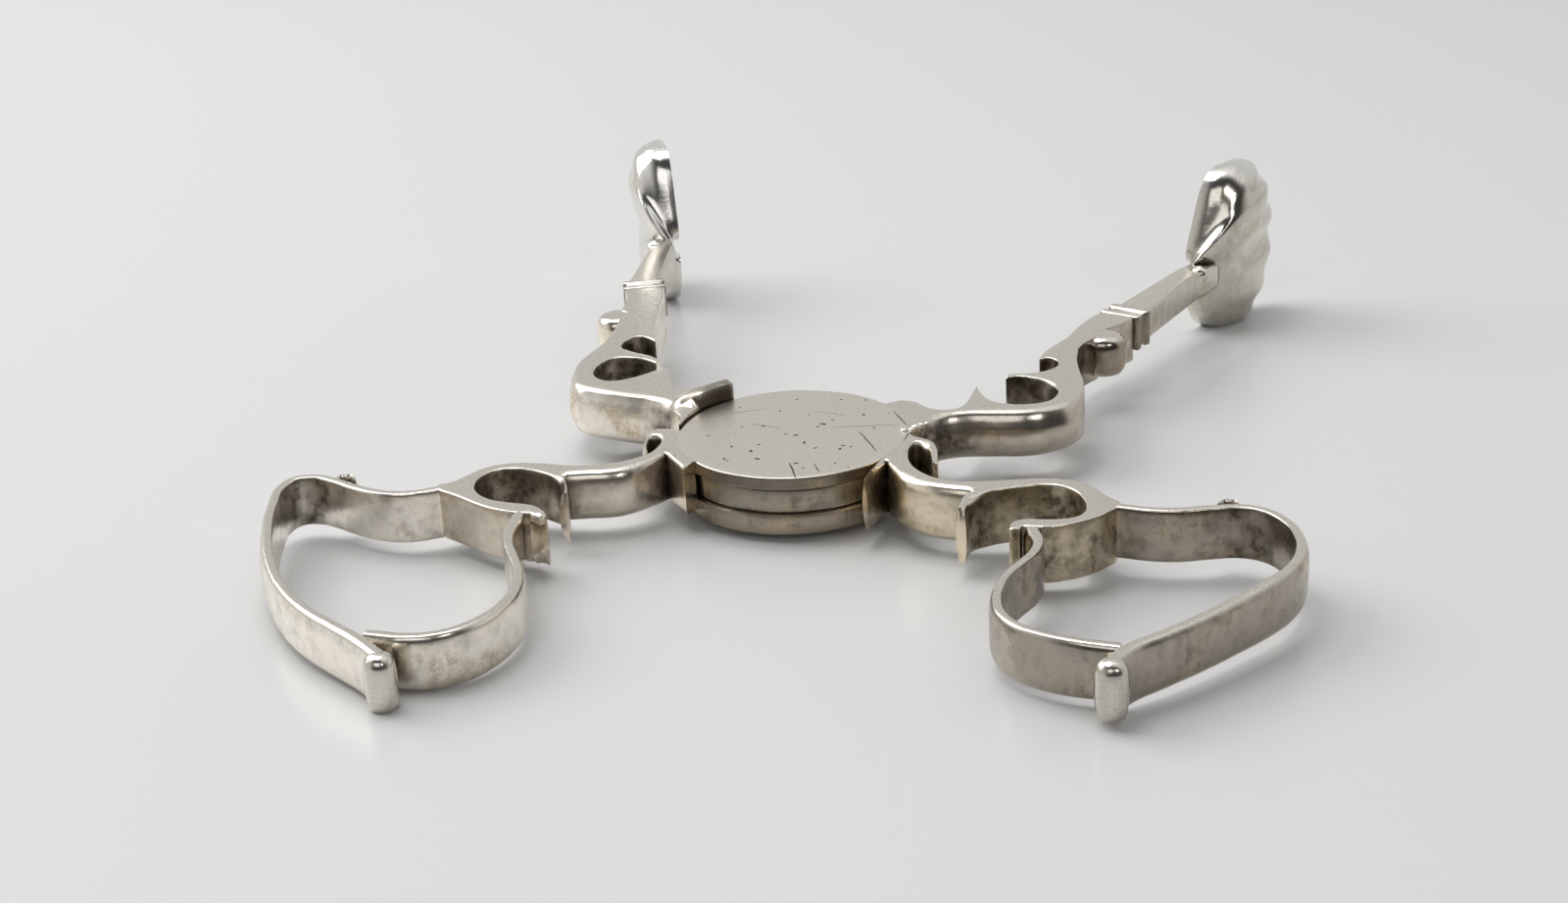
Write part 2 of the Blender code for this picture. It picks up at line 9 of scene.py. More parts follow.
import bpy
import numpy as np
from mathutils import Matrix, Vector, noise
from mathutils.geometry import delaunay_2d_cdt
from numpy.linalg import norm


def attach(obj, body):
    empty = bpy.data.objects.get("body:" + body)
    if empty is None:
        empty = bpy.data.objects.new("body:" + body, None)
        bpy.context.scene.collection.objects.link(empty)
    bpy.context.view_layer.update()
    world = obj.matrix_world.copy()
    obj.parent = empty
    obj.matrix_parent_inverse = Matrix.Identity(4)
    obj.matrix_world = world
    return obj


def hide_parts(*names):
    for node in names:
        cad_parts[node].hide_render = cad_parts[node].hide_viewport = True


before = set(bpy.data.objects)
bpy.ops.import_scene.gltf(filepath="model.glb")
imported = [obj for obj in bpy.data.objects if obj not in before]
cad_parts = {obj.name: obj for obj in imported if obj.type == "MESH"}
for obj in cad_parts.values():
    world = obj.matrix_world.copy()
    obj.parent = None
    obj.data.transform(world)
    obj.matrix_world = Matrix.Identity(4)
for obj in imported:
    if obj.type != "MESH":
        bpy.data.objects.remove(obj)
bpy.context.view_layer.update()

MM = 0.001

# Sizes shared with the solids, in millimetres
plate_radius = 10.0
module = 10.0
floor_top = 1.7
tongue_low = 1.9
tongue_high = 3.85
cover_low = 4.05
cover_high = 5.2
band_low = 0.7
band_high = 5.2
rise = 0.45
band_middle = 2.95
volute_radius = 2.15
arm_leans = {"left": radians(3.8), "right": radians(-3.8)}
shell_leans = {"left": radians(3.4), "right": radians(-4.4)}
collar_angle = radians(68)
collar_length = 2.6
arm_rise = 0.5
shank_length = 11.0
shell_length = 14.5
shell_width = 17.4
shell_depth = 3.9
shell_wall = 0.8
shell_rise = 1.5
stem_length = 3.0
stem_offset = 2.4
rim_angle = radians(62.65)
tongue_setback = 0.4
rim_play = 0.3
knob_drop = 0.15
rim_round_share = 0.46
stem_half_share = 0.09
shell_fan = radians(100)

# Sizes of the scene's own detail, in millimetres
solder_overlap = 0.02
outline_spacing = 0.22
band_spacing = 0.4
inner_band_thickness = 1.1
outer_band_thickness = 1.25
knob_radius = 1.225
knob_half_height = 2.4
spur_lift = 0.1
spur_curl = 0.75
spur_half_height = 2.1
volute_half_height = 1.95
volute_sink = 1.3
collar_width = 4.3
collar_height = 3.5
shank_root = (3.5, 3.1)
shank_end = (2.7, 2.9)
heel_length = 4.3
heel_width = 2.7
heel_height = 2.9
bar_corner = 0.42
knuckle_radius = 0.95
knuckle_half_height = 0.85
shell_edge_roll = 0.18
flute_height = 0.5
rim_scallop = 0.3
flank_hollow = 2.1
left_arm_lift = 1.05

# Places in plan where a casting's rounded front and lift fade, and where painted shade grows on the right
# handle, in millimetres
arm_front_fade = (11, 15)
handle_front_fade = (17.0, 18.5)
left_lift_reach = 13.4
left_lift_fade = (4.0, 4.9)
right_handle_shade = (17.5, 19.5)

# Plan outlines as shares of the scroll module; a third entry marks a sharp corner
handle_scroll_shares = {
    "left": [
        (-0.235, -0.85, 1), (0.0, -0.545, 1), (0.08, -0.7), (0.16, -0.83), (0.25, -0.93), (0.38, -1.0),
        (0.56, -1.04), (0.745, -1.085, 1), (0.69, -1.22), (0.64, -1.34), (0.61, -1.47, 1),
        (0.665, -1.475, 1), (0.7, -1.34), (0.76, -1.19), (0.86, -1.1), (0.96, -1.045), (1.08, -1.005),
        (1.19, -0.99), (1.36, -1.045), (1.45, -1.18), (1.45, -1.34), (1.39, -1.48), (1.26, -1.6),
        (1.1, -1.66), (0.95, -1.685), (0.82, -1.71), (0.72, -1.785), (0.66, -1.865, 1), (0.645, -1.94, 1),
        (0.785, -1.91, 1), (0.795, -1.865, 1), (0.97, -1.865, 1), (1.07, -1.835), (1.17, -1.8),
        (1.32, -1.72), (1.48, -1.62), (1.6, -1.55), (1.715, -1.49, 1), (1.775, -1.385, 1), (1.66, -1.3),
        (1.58, -1.16), (1.5, -1.02), (1.37, -0.92), (1.2, -0.865), (1.03, -0.855), (0.81, -0.875),
        (0.6, -0.865), (0.44, -0.81), (0.3, -0.725), (0.21, -0.64), (0.145, -0.555), (0.115, -0.45),
        (0.11, -0.33), (0.14, -0.2), (0.185, -0.165), (0.225, -0.21), (0.225, -0.32), (0.195, -0.45),
        (0.165, -0.525, 1), (0.2, -0.555, 1), (0.24, -0.45), (0.27, -0.29), (0.28, -0.15), (0.25, -0.05),
        (0.2, -0.02),
    ],
    "right": [
        (-0.14, -0.72), (-0.195, -1.02, 1), (-0.145, -0.88), (-0.105, -0.75), (-0.065, -0.63, 1),
        (0.02, -0.8), (0.11, -0.94), (0.2, -1.02), (0.29, -1.08), (0.38, -1.12), (0.54, -1.155),
        (0.71, -1.175, 1), (0.675, -1.3), (0.66, -1.42), (0.66, -1.55, 1), (0.72, -1.56, 1),
        (0.735, -1.41), (0.795, -1.275), (0.87, -1.19), (0.96, -1.135), (1.17, -1.045), (1.29, -1.01),
        (1.41, -1.02), (1.53, -1.09), (1.62, -1.235), (1.665, -1.4), (1.655, -1.52), (1.6, -1.6),
        (1.5, -1.65), (1.36, -1.675), (1.21, -1.685), (1.135, -1.73), (1.105, -1.8, 1),
        (1.115, -1.885, 1), (1.19, -1.865, 1), (1.205, -1.825, 1), (1.365, -1.825, 1), (1.45, -1.8),
        (1.56, -1.75), (1.67, -1.68), (1.77, -1.585), (1.85, -1.475), (1.905, -1.4, 1), (1.925, -1.28, 1),
        (1.83, -1.2), (1.725, -1.06), (1.6, -0.94), (1.43, -0.885), (1.23, -0.885), (1.04, -0.93),
        (0.84, -0.975), (0.65, -1.0), (0.5, -0.985), (0.4, -0.95), (0.3, -0.88), (0.2, -0.77),
        (0.125, -0.62), (0.09, -0.46), (0.085, -0.31), (0.115, -0.225), (0.19, -0.265), (0.25, -0.36),
        (0.29, -0.5), (0.33, -0.68, 1), (0.37, -0.68, 1), (0.345, -0.48), (0.305, -0.3), (0.25, -0.19),
        (0.16, -0.13), (0.08, -0.09),
    ],
}
arm_front_shares = {
    "left": [
        (0.05, 0.17), (0.13, 0.31), (0.24, 0.46), (0.42, 0.555), (0.7, 0.62), (0.98, 0.7), (1.2, 0.8),
        (1.31, 0.97), (1.35, 1.2), (1.355, 1.42), (1.33, 1.63), (1.285, 1.86), (1.262, 2.05),
        (1.265, 2.3),
    ],
    "right": [
        (0.05, 0.18), (0.12, 0.33), (0.26, 0.47), (0.43, 0.545), (0.72, 0.585), (0.98, 0.62),
        (1.2, 0.735), (1.345, 0.89), (1.405, 1.1), (1.395, 1.38), (1.335, 1.66), (1.285, 1.92),
        (1.27, 2.12), (1.275, 2.32),
    ],
}
arm_back_shares = {
    "left": [
        (1.53, 3.14), (1.676, 3.349, 1), (1.324, 3.491, 1), (1.21, 3.27), (1.12, 3.06), (1.02, 2.83),
        (0.94, 2.6), (0.865, 2.34), (0.81, 2.16), (0.775, 2.04, 1), (0.84, 2.1), (0.92, 2.15),
        (1.0, 2.14), (1.06, 2.05), (1.075, 1.93), (1.045, 1.83), (0.95, 1.755), (0.82, 1.69),
        (0.7, 1.635), (0.6, 1.535, 1), (0.615, 1.465, 1), (0.68, 1.515), (0.77, 1.56), (0.89, 1.58),
        (1.01, 1.57), (1.09, 1.52), (1.14, 1.42), (1.155, 1.3), (1.14, 1.17), (1.095, 1.075),
        (1.03, 1.01), (0.95, 0.975), (0.85, 0.995), (0.75, 1.06), (0.67, 1.14), (0.58, 1.26),
        (0.505, 1.385, 1), (0.44, 1.27), (0.38, 1.1), (0.325, 0.94), (0.25, 0.84), (0.15, 0.83),
        (0.05, 0.89), (-0.06, 0.92), (-0.18, 0.89, 1),
    ],
    "right": [
        (1.5, 3.07), (1.546, 3.259, 1), (1.194, 3.401, 1), (1.15, 3.2), (1.135, 2.95), (1.13, 2.75),
        (1.115, 2.56), (1.06, 2.39), (0.99, 2.23), (0.95, 2.09), (0.93, 1.95, 1), (1.0, 1.975),
        (1.07, 1.945), (1.113, 1.86), (1.095, 1.745), (1.035, 1.67), (0.96, 1.615), (0.83, 1.567),
        (0.74, 1.555), (0.675, 1.505, 1), (0.68, 1.445, 1), (0.75, 1.485), (0.84, 1.49), (0.93, 1.462),
        (1.024, 1.42), (1.103, 1.34), (1.156, 1.248), (1.185, 1.143), (1.177, 1.047), (1.136, 0.938),
        (1.07, 0.875), (0.974, 0.832), (0.872, 0.812), (0.75, 0.825), (0.677, 0.845), (0.6, 0.906),
        (0.535, 1.0), (0.485, 1.11), (0.443, 1.235, 1), (0.427, 1.08), (0.415, 0.94), (0.395, 0.79),
        (0.345, 0.68), (0.28, 0.637), (0.2, 0.63), (0.11, 0.657), (0.03, 0.72), (-0.05, 0.8),
        (-0.19, 0.83, 1),
    ],
}

# Centre lines of the finger rings, which were bent by hand and differ
ring_inner_shares = {
    "left": [
        (0.885, -1.9), (0.875, -2.12), (0.82, -2.36), (0.7, -2.61), (0.58, -2.85), (0.5, -3.13),
        (0.5, -3.42), (0.57, -3.68), (0.71, -3.9), (0.88, -4.02), (1.09, -4.065), (1.29, -4.05),
    ],
    "right": [
        (1.29, -1.872), (1.345, -2.04), (1.335, -2.25), (1.26, -2.45), (1.185, -2.65), (1.15, -2.88),
        (1.155, -3.08), (1.21, -3.29), (1.34, -3.47), (1.54, -3.6), (1.78, -3.68), (2.02, -3.71),
    ],
}
ring_outer_shares = {
    "left": [
        (1.775, -1.45), (1.92, -1.53), (2.1, -1.565), (2.29, -1.535), (2.49, -1.455), (2.7, -1.35),
        (2.91, -1.29), (3.06, -1.34), (3.125, -1.51), (3.06, -1.86), (2.89, -2.37), (2.63, -2.93),
        (2.32, -3.39), (2.0, -3.71), (1.68, -3.945), (1.43, -4.12), (1.16, -4.35),
    ],
    "right": [
        (1.95, -1.35), (2.15, -1.385), (2.37, -1.385), (2.62, -1.315), (2.86, -1.265), (3.07, -1.33),
        (3.235, -1.52), (3.325, -1.78), (3.335, -2.06), (3.26, -2.35), (3.12, -2.6), (2.91, -2.89),
        (2.65, -3.22), (2.4, -3.5), (2.19, -3.72), (2.07, -3.93),
    ],
}
volute_place_shares = {"left": (1.4, 2.74), "right": (1.42, 2.72)}
volute_seat_angles = (radians(238), radians(96))
collar_place_shares = {"left": (1.505, 3.432), "right": (1.376, 3.345)}
handle_root_start = radians(-1.5)
handle_root_ends = {"left": radians(-44.5), "right": radians(-28)}
arm_root_angles = (radians(1.5), radians(47))

# Turned shapes as shares of a radius and of half a height, from the top down
knob_profile_shares = [
    (0, 1.0), (0.35, 0.985), (0.62, 0.93), (0.86, 0.80), (0.97, 0.62), (1.0, 0.35), (1.02, 0.0),
    (1.0, -0.35), (0.95, -0.65), (0.82, -0.84), (0.55, -0.95), (0.3, -0.99), (0, -1.0),
]
volute_profile_shares = [
    (0, 1.13), (0.35, 1.125), (0.62, 1.09), (0.81, 1.0), (0.93, 0.82), (0.99, 0.55), (1.01, 0.15),
    (1.0, -0.25), (0.95, -0.58), (0.82, -0.82), (0.55, -0.95), (0.25, -0.99), (0, -1.0),
]

# The collar's two mouldings: a share of its length, and how full it is there
collar_shares = [
    (-0.02, 0.0), (0.0, 0.25), (0.03, 0.8), (0.09, 1.0), (0.24, 1.0), (0.31, 0.8), (0.35, 0.2), (0.40, 0.0),
    (0.58, 0.0), (0.63, 0.2), (0.67, 0.8), (0.73, 1.0), (0.88, 1.0), (0.95, 0.8), (0.99, 0.25), (1.01, 0.0),
]

# Places in plan, in millimetres: curled spurs behind the outer bands, and solder beads with their radius
spur_places = {"left": (36.3, -12.9), "right": (37.7, -12.1)}
solder_beads = [(9.6, 1.2, 0.42), (10.2, 1.5, 0.36), (10.5, 2.0, 0.5), (10.9, 2.6, 0.4), (11.3, 3.0, 0.3)]

# Wear on the cover, in millimetres: pits with their size, and slips of a tool with their width
pit_places = [
    (0.41, -0.68, 0.2), (2.3, 2.05, 0.26), (1.48, -2.23, 0.2), (-2.73, -4.44, 0.22), (-1.81, -6.06, 0.22),
    (-4.62, -3.63, 0.16), (-2.38, -3.0, 0.14), (-0.49, -0.54, 0.14), (4.92, -2.63, 0.16),
    (4.8, -3.34, 0.2), (5.64, -2.73, 0.14), (5.47, 4.42, 0.18), (5.02, 7.94, 0.16), (2.8, 7.88, 0.14),
    (1.65, -6.7, 0.2), (2.92, 3.12, 0.12), (-9.0, -6.07, 0.1), (-4.64, -6.31, 0.16), (-4.72, 0.78, 0.13),
    (-2.87, 1.16, 0.15), (-2.14, 4.66, 0.12), (1.94, 1.46, 0.15), (2.67, -3.32, 0.16), (6.91, 1.54, 0.12),
    (2.48, -7.66, 0.13), (4.96, -6.4, 0.12), (6.23, -7.06, 0.1), (-4.29, -6.71, 0.12), (-6.4, 2.6, 0.1),
    (-7.2, -1.4, 0.12), (-1.2, 7.6, 0.12), (0.6, 4.1, 0.1), (-5.9, 5.3, 0.12), (7.6, 4.9, 0.1),
]
slip_lines = [
    ((5.73, 0.66), (8.0, -3.49), 0.10), ((1.09, -6.64), (2.3, -9.75), 0.12),
    ((3.2, -6.66), (4.06, -8.44), 0.08), ((3.26, 1.35), (8.95, 2.5), 0.05),
    ((7.9, 5.6), (9.7, 2.3), 0.09), ((-4.4, 1.6), (-1.2, 0.9), 0.04),
    ((-7.2, 3.4), (-3.6, 5.2), 0.035), ((1.2, 4.9), (3.9, 4.1), 0.035),
]


# Plan lines
def vec(x, y):
    return np.array([x, y], float)


def reach(out_share, forward_share):
    return vec(plate_radius + out_share * module, forward_share * module)


def heading(angle):
    return vec(cos(angle), sin(angle))


def unit(v):
    return v / norm(v)


def cross(a, b):
    return a[0] * b[1] - a[1] * b[0]


def smoothstep(value, start, end):
    t = min(max((value - start) / (end - start), 0), 1)
    return t * t * (3 - 2 * t)


def turned(point, angle):
    c, s = cos(angle), sin(angle)
    return vec(c * point[0] - s * point[1], s * point[0] + c * point[1])


def leaned(point, lean):
    """A point of an arm, turned by the arm's lean, which sets in between two shares forward."""
    return turned(point, lean * smoothstep(point[1] / module, 2.3, 3.7))


def typed(entries, move=lambda point: point):
    return [(move(reach(entry[0], entry[1])), len(entry) > 2) for entry in entries]


def arc_points(radius, start, end, steps):
    angles = [start + (end - start) * i / steps for i in range(steps + 1)]
    return [(heading(angle) * radius, i in (0, steps)) for i, angle in enumerate(angles)]


def auto_handles(before, here, after):
    """The two handles of a smooth knot, as long as an arc through the knots would need."""
    arc_ratio = 2.5614
    da, db = here - before, after - here
    la, lb = norm(da), norm(db)
    tangent = da / la + db / lb
    size = norm(tangent) * arc_ratio
    la, lb = min(la, 5 * lb), min(lb, 5 * la)
    return here - tangent * la / size, here + tangent * lb / size


def smooth_line(knots, cyclic, spacing):
    """Points along a smooth line through knots, which turns sharply at corners."""
    count = len(knots)
    handles = []
    for i, (here, corner) in enumerate(knots):
        before = knots[i - 1][0] if i or cyclic else 2 * here - knots[1][0]
        after = knots[(i + 1) % count][0] if i < count - 1 or cyclic else 2 * here - knots[-2][0]
        if corner:
            handles.append((here + (before - here) / 3, here + (after - here) / 3))
        else:
            handles.append(auto_handles(before, here, after))
    points = []
    for i in range(count if cyclic else count - 1):
        a, b = knots[i][0], knots[(i + 1) % count][0]
        ha, hb = handles[i][1], handles[(i + 1) % count][0]
        steps = max(2, ceil(norm(b - a) / spacing))
        for k in range(steps):
            t = k / steps
            s = 1 - t
            points.append(s ** 3 * a + 3 * t * s ** 2 * ha + 3 * t * t * s * hb + t ** 3 * b)
    if not cyclic:
        points.append(knots[-1][0])
    return np.array(points)


def side_normals(line, cyclic):
    """Unit normals to the right of a plan line's direction."""
    if cyclic:
        step = np.roll(line, -1, 0) - np.roll(line, 1, 0)
    else:
        step = np.gradient(line, axis=0)
    step /= norm(step, axis=1)[:, None]
    return np.stack([step[:, 1], -step[:, 0]], 1)


def anticlockwise(loop):
    x, y = loop[:, 0], loop[:, 1]
    area = (x * np.roll(y, -1) - np.roll(x, -1) * y).sum()
    return loop if area > 0 else loop[::-1].copy()


# How many points one step of a search takes, which keeps its arrays small
batch = 500


def distances(points, loop):
    """Each point's distance to a closed loop, and the index of the nearest loop point."""
    a, b = loop, np.roll(loop, -1, 0)
    d = b - a
    dd = (d * d).sum(1)
    best = np.zeros(len(points))
    near = np.zeros(len(points), int)
    for start in range(0, len(points), batch):
        p = points[start:start + batch, None, :]
        t = np.clip(((p - a) * d).sum(2) / dd, 0, 1)
        gap = norm(p - a - t[..., None] * d, axis=2)
        near[start:start + batch] = gap.argmin(1)
        best[start:start + batch] = gap.min(1)
    return best, near


def concave_shares(loop):
    """How strongly each part of an anticlockwise loop curves inwards, from 0 to 1."""
    step = np.roll(loop, -1, 0) - loop
    angles = np.arctan2(step[:, 1], step[:, 0])
    bend = np.clip(np.angle(np.exp(1j * (angles - np.roll(angles, 1)))), -0.5, 0.25)
    total = sum(np.roll(bend, k) * (1 - abs(k) / 8) for k in range(-7, 8))
    shares = np.array([smoothstep(-turn, 0.07, 0.36) for turn in total])
    return sum(np.roll(shares, k) for k in range(-2, 3)) / 5


def inside(points, loop):
    a, b = loop, np.roll(loop, -1, 0)
    run = b[:, 0] - a[:, 0]
    climb = np.where(b[:, 1] == a[:, 1], 1, b[:, 1] - a[:, 1])
    found = np.zeros(len(points), bool)
    for start in range(0, len(points), batch):
        p = points[start:start + batch, None, :]
        spans = (a[:, 1] > p[..., 1]) != (b[:, 1] > p[..., 1])
        at = a[:, 0] + (p[..., 1] - a[:, 1]) * run / climb
        found[start:start + batch] = (spans & (p[..., 0] < at)).sum(1) % 2 == 1
    return found


def grain(x, y, z, scale, seed=0.0):
    """Smooth noise from -1 to 1 at a place given in millimetres."""
    return noise.noise(Vector((x * scale + seed, y * scale - seed, z * scale + 2 * seed)))


def top_wave(x, y):
    """How far a hand-worked flat top rises or dips."""
    return 0.03 * grain(x, y, 0, 0.28, 3.1)


# Objects and materials
def link_object(name, data):
    item = bpy.data.objects.new(name, data)
    bpy.context.scene.collection.objects.link(item)
    return item


def new_material(name):
    material = bpy.data.materials.new(name)
    material.use_nodes = True
    return material, material.node_tree.nodes["Principled BSDF"]


def feed(socket, value):
    """Link a node's output to a socket, or set the socket's own value."""
    if isinstance(value, bpy.types.NodeSocket):
        socket.id_data.links.new(value, socket)
    else:
        socket.default_value = (*value, 1) if socket.type == "RGBA" else value


def feed_all(item, **values):
    """Feed a node's inputs by name, where _ stands for a space."""
    for key, value in values.items():
        feed(item.inputs[key.replace("_", " ")], value)
    return item


def node(tree, kind, **values):
    return feed_all(tree.nodes.new(kind), **values)


def math_node(tree, operation, *values, clamp=False):
    item = tree.nodes.new("ShaderNodeMath")
    item.operation = operation
    item.use_clamp = clamp
    for socket, value in zip(item.inputs, values):
        feed(socket, value)
    return item.outputs[0]


def spread_node(tree, value, low, high, to_low=0.0, to_high=1.0):
    item = node(tree, "ShaderNodeMapRange", Value=value, From_Min=low, From_Max=high, To_Min=to_low,
                To_Max=to_high)
    item.interpolation_type = "SMOOTHSTEP"
    return item.outputs["Result"]


def mix_colours(tree, share, a, b):
    item = tree.nodes.new("ShaderNodeMix")
    item.data_type = "RGBA"
    for socket, value in ((item.inputs["Factor"], share), (item.inputs[6], a), (item.inputs[7], b)):
        feed(socket, value)
    return item.outputs[2]


def noise_node(tree, place, scale, detail=3.0, rough=0.55):
    item = node(tree, "ShaderNodeTexNoise", Vector=place, Scale=scale, Detail=detail, Roughness=rough)
    return item.outputs["Fac"]


def mapped(tree, place, scale, turn=0.0):
    return node(tree, "ShaderNodeMapping", Vector=place, Scale=scale, Rotation=(0, 0, turn)).outputs["Vector"]


def silver(name, wall, tarnish, top=(0.69, 0.65, 0.58), dark=(0.085, 0.068, 0.052), hollow=1.0, gold_share=0.5,
           rough=0.2, pits=0.5, upright=1.0):
    """Old silver: satin where it lies flat, brown-grey on its walls, near black in its hollows; the dark of
    walls and hollows is partly tarnish and partly painted shade.
    """
    gold = (0.60, 0.47, 0.27)
    pit_dark = (0.05, 0.04, 0.032)
    recess_reach = 0.0042
    material, shader = new_material(name)
    tree = material.node_tree
    times = partial(math_node, tree, "MULTIPLY")
    plus = partial(math_node, tree, "ADD")
    less = partial(math_node, tree, "SUBTRACT")
    line = partial(math_node, tree, "MULTIPLY_ADD")
    largest = partial(math_node, tree, "MAXIMUM")
    spread = partial(spread_node, tree)
    mix = partial(mix_colours, tree)
    noisy = partial(noise_node, tree)

    # Noise by place in millimetres
    spot = mapped(tree, node(tree, "ShaderNodeTexCoord").outputs["Object"], (1 / MM, 1 / MM, 1 / MM))
    broad = noisy(spot, 0.20)
    mottle = noisy(spot, 0.85, 5.0, 0.62)
    fine = noisy(spot, 5.0, 4.0, 0.6)
    streaks = noisy(mapped(tree, spot, (1.5, 1.5, 0.3)), 1.0, 4.0, 0.6)
    lines = noisy(mapped(tree, spot, (9, 0.7, 0.7), 0.6), 1.0, 6.0, 0.65)

    # Walls, worn edges, and painted shade in recesses
    surface = node(tree, "ShaderNodeNewGeometry")
    facing = node(tree, "ShaderNodeSeparateXYZ", Vector=surface.outputs["Normal"])
    inward = tree.nodes.new("ShaderNodeAttribute")
    inward.attribute_name = "inward"
    inward = inward.outputs["Fac"]
    rubbed_off = largest(line(inward, -1.0, 0.0), 0.0)
    steep = spread(math_node(tree, "ABSOLUTE", facing.outputs["Z"]), 0.80, 0.25, 0.0, upright)
    steep = times(steep, line(rubbed_off, -1.0, 1.0))
    wear = spread(surface.outputs["Pointiness"], 0.505, 0.56)
    shade = node(tree, "ShaderNodeAmbientOcclusion", Distance=recess_reach)
    shade.samples = 8
    shade.only_local = True
    recess = spread(shade.outputs["AO"], 0.88, 0.32)

    # Tarnish in patches and streaks, and darkening in the hollows and on inward-curving walls that is partly
    # tarnish and partly painted shade
    patina = plus(spread(mottle, 0.40, 0.70), spread(streaks, 0.45, 0.75, 0, 0.5))
    patina = times(patina, tarnish)
    patina = times(patina, spread(broad, 0.36, 0.62, 0.35, 1.0))
    patina = times(patina, line(steep, 0.75, 0.12))
    depth = times(times(recess, line(mottle, 0.8, 0.5)), hollow)
    # Painted shade on inward-curving walls, from the inward attribute, and on tops where that share passes 1
    overall = largest(line(inward, 1.0, -1.0), 0.0)
    shaded = times(plus(times(inward, steep), overall), line(mottle, 1.1, 0.12))
    depth = largest(depth, shaded)
    tarnish_and_shade = plus(patina, depth, clamp=True)
    tarnish_and_shade = less(tarnish_and_shade, times(wear, 0.5), clamp=True)

    # Colour: worn top, wall, gold mottles that are partly warm tarnish and partly painted warm reflection,
    # tarnish with painted shade, and small pits
    gold_tarnish_and_sheen = times(times(times(spread(broad, 0.50, 0.66), spread(fine, 0.32, 0.66)), steep), gold_share)
    worn_top = tuple(0.80 * value for value in top)
    colour = mix(spread(fine, 0.46, 0.66), top, worn_top)
    # Walls take the look's wall colour, partly tarnish and partly painted light and shade
    colour = mix(steep, colour, wall)
    colour = mix(gold_tarnish_and_sheen, colour, gold)
    colour = mix(tarnish_and_shade, colour, dark)
    cells = node(tree, "ShaderNodeTexVoronoi", Vector=spot, Scale=1.3)
    rare = spread(noisy(spot, 0.7, 2.0), 0.50, 0.58)
    # Small pits: dents in the bump, darkened in colour with painted shade
    pit = times(times(spread(cells.outputs["Distance"], 0.10, 0.02), rare), pits)
    colour = mix(pit, colour, pit_dark)

    # Gloss, and relief in millimetres
    gloss = plus(line(tarnish_and_shade, 0.20, rough - 0.05), times(lines, 0.12))
    height = plus(times(mottle, 0.030), times(fine, 0.004))
    height = plus(height, times(lines, 0.003))
    height = less(height, times(pit, 0.03))
    bump = node(tree, "ShaderNodeBump", Distance=MM, Strength=0.6, Height=height)
    feed_all(shader, Base_Color=colour, Metallic=1.0, Roughness=gloss, Normal=bump.outputs["Normal"])
    return material


# What each look needs beyond plain old silver. Left and right copies of a part are lit and shaded copies:
# their wall and dark colours, and the shells' tops, are painted lighter or darker for how the lamps fall on
# each side.
looks = {
    "disc": dict(wall=(0.21, 0.18, 0.145), tarnish=0.3, hollow=0.4, rough=0.30, pits=0.7),
    # The marks are near black: painted shade for the pits, and the same dark colour on the slips of a tool
    "mark": dict(wall=(0.06, 0.05, 0.04), tarnish=0.3, top=(0.075, 0.06, 0.05), gold_share=0.0, rough=0.24),
    "plate": dict(wall=(0.40, 0.34, 0.27), tarnish=0.55, rough=0.28),
    "slot": dict(wall=(0.36, 0.32, 0.265), tarnish=0.7, rough=0.3),
    "left_handle": dict(
        wall=(0.74, 0.66, 0.56), tarnish=0.5, dark=(0.17, 0.138, 0.105), hollow=0.9, gold_share=0.8, rough=0.22),
    "right_handle": dict(
        wall=(0.86, 0.755, 0.585), tarnish=0.4, dark=(0.14, 0.11, 0.075), hollow=0.85, gold_share=0.9, rough=0.22),
    "left_arm": dict(
        wall=(0.95, 0.885, 0.80), tarnish=0.35, dark=(0.11, 0.09, 0.068), hollow=1.1, gold_share=1.0, rough=0.22),
    "right_arm": dict(wall=(0.53, 0.465, 0.39), tarnish=0.5, hollow=1.2, gold_share=0.6),
    "left_ring": dict(wall=(0.88, 0.825, 0.74), tarnish=0.4, hollow=0.9, gold_share=0.6),
    "right_ring": dict(wall=(0.43, 0.385, 0.325), tarnish=0.5, hollow=0.9, gold_share=0.6),
    "left_volute": dict(wall=(0.90, 0.82, 0.67), tarnish=0.25, hollow=0.5, gold_share=0.8, rough=0.16),
    "right_volute": dict(wall=(0.33, 0.275, 0.215), tarnish=0.5, hollow=0.8, gold_share=0.8, rough=0.16),
    "collar": dict(wall=(0.25, 0.22, 0.185), tarnish=0.5, hollow=1.3, gold_share=0.3),
    "shank": dict(wall=(0.62, 0.58, 0.51), tarnish=0.35, hollow=0.8, gold_share=0.4, rough=0.28),
    "left_shell": dict(
        wall=(0.84, 0.81, 0.75), tarnish=0.2, top=(0.82, 0.805, 0.765), hollow=0.6, gold_share=0.4, rough=0.14,
        pits=0.3, upright=0.8),
    "right_shell": dict(
        wall=(0.64, 0.595, 0.52), tarnish=0.4, top=(0.78, 0.76, 0.71), hollow=0.9, rough=0.14, pits=0.3,
        upright=0.8),
}
finish = {look: silver(look + "_silver", **values) for look, values in looks.items()}


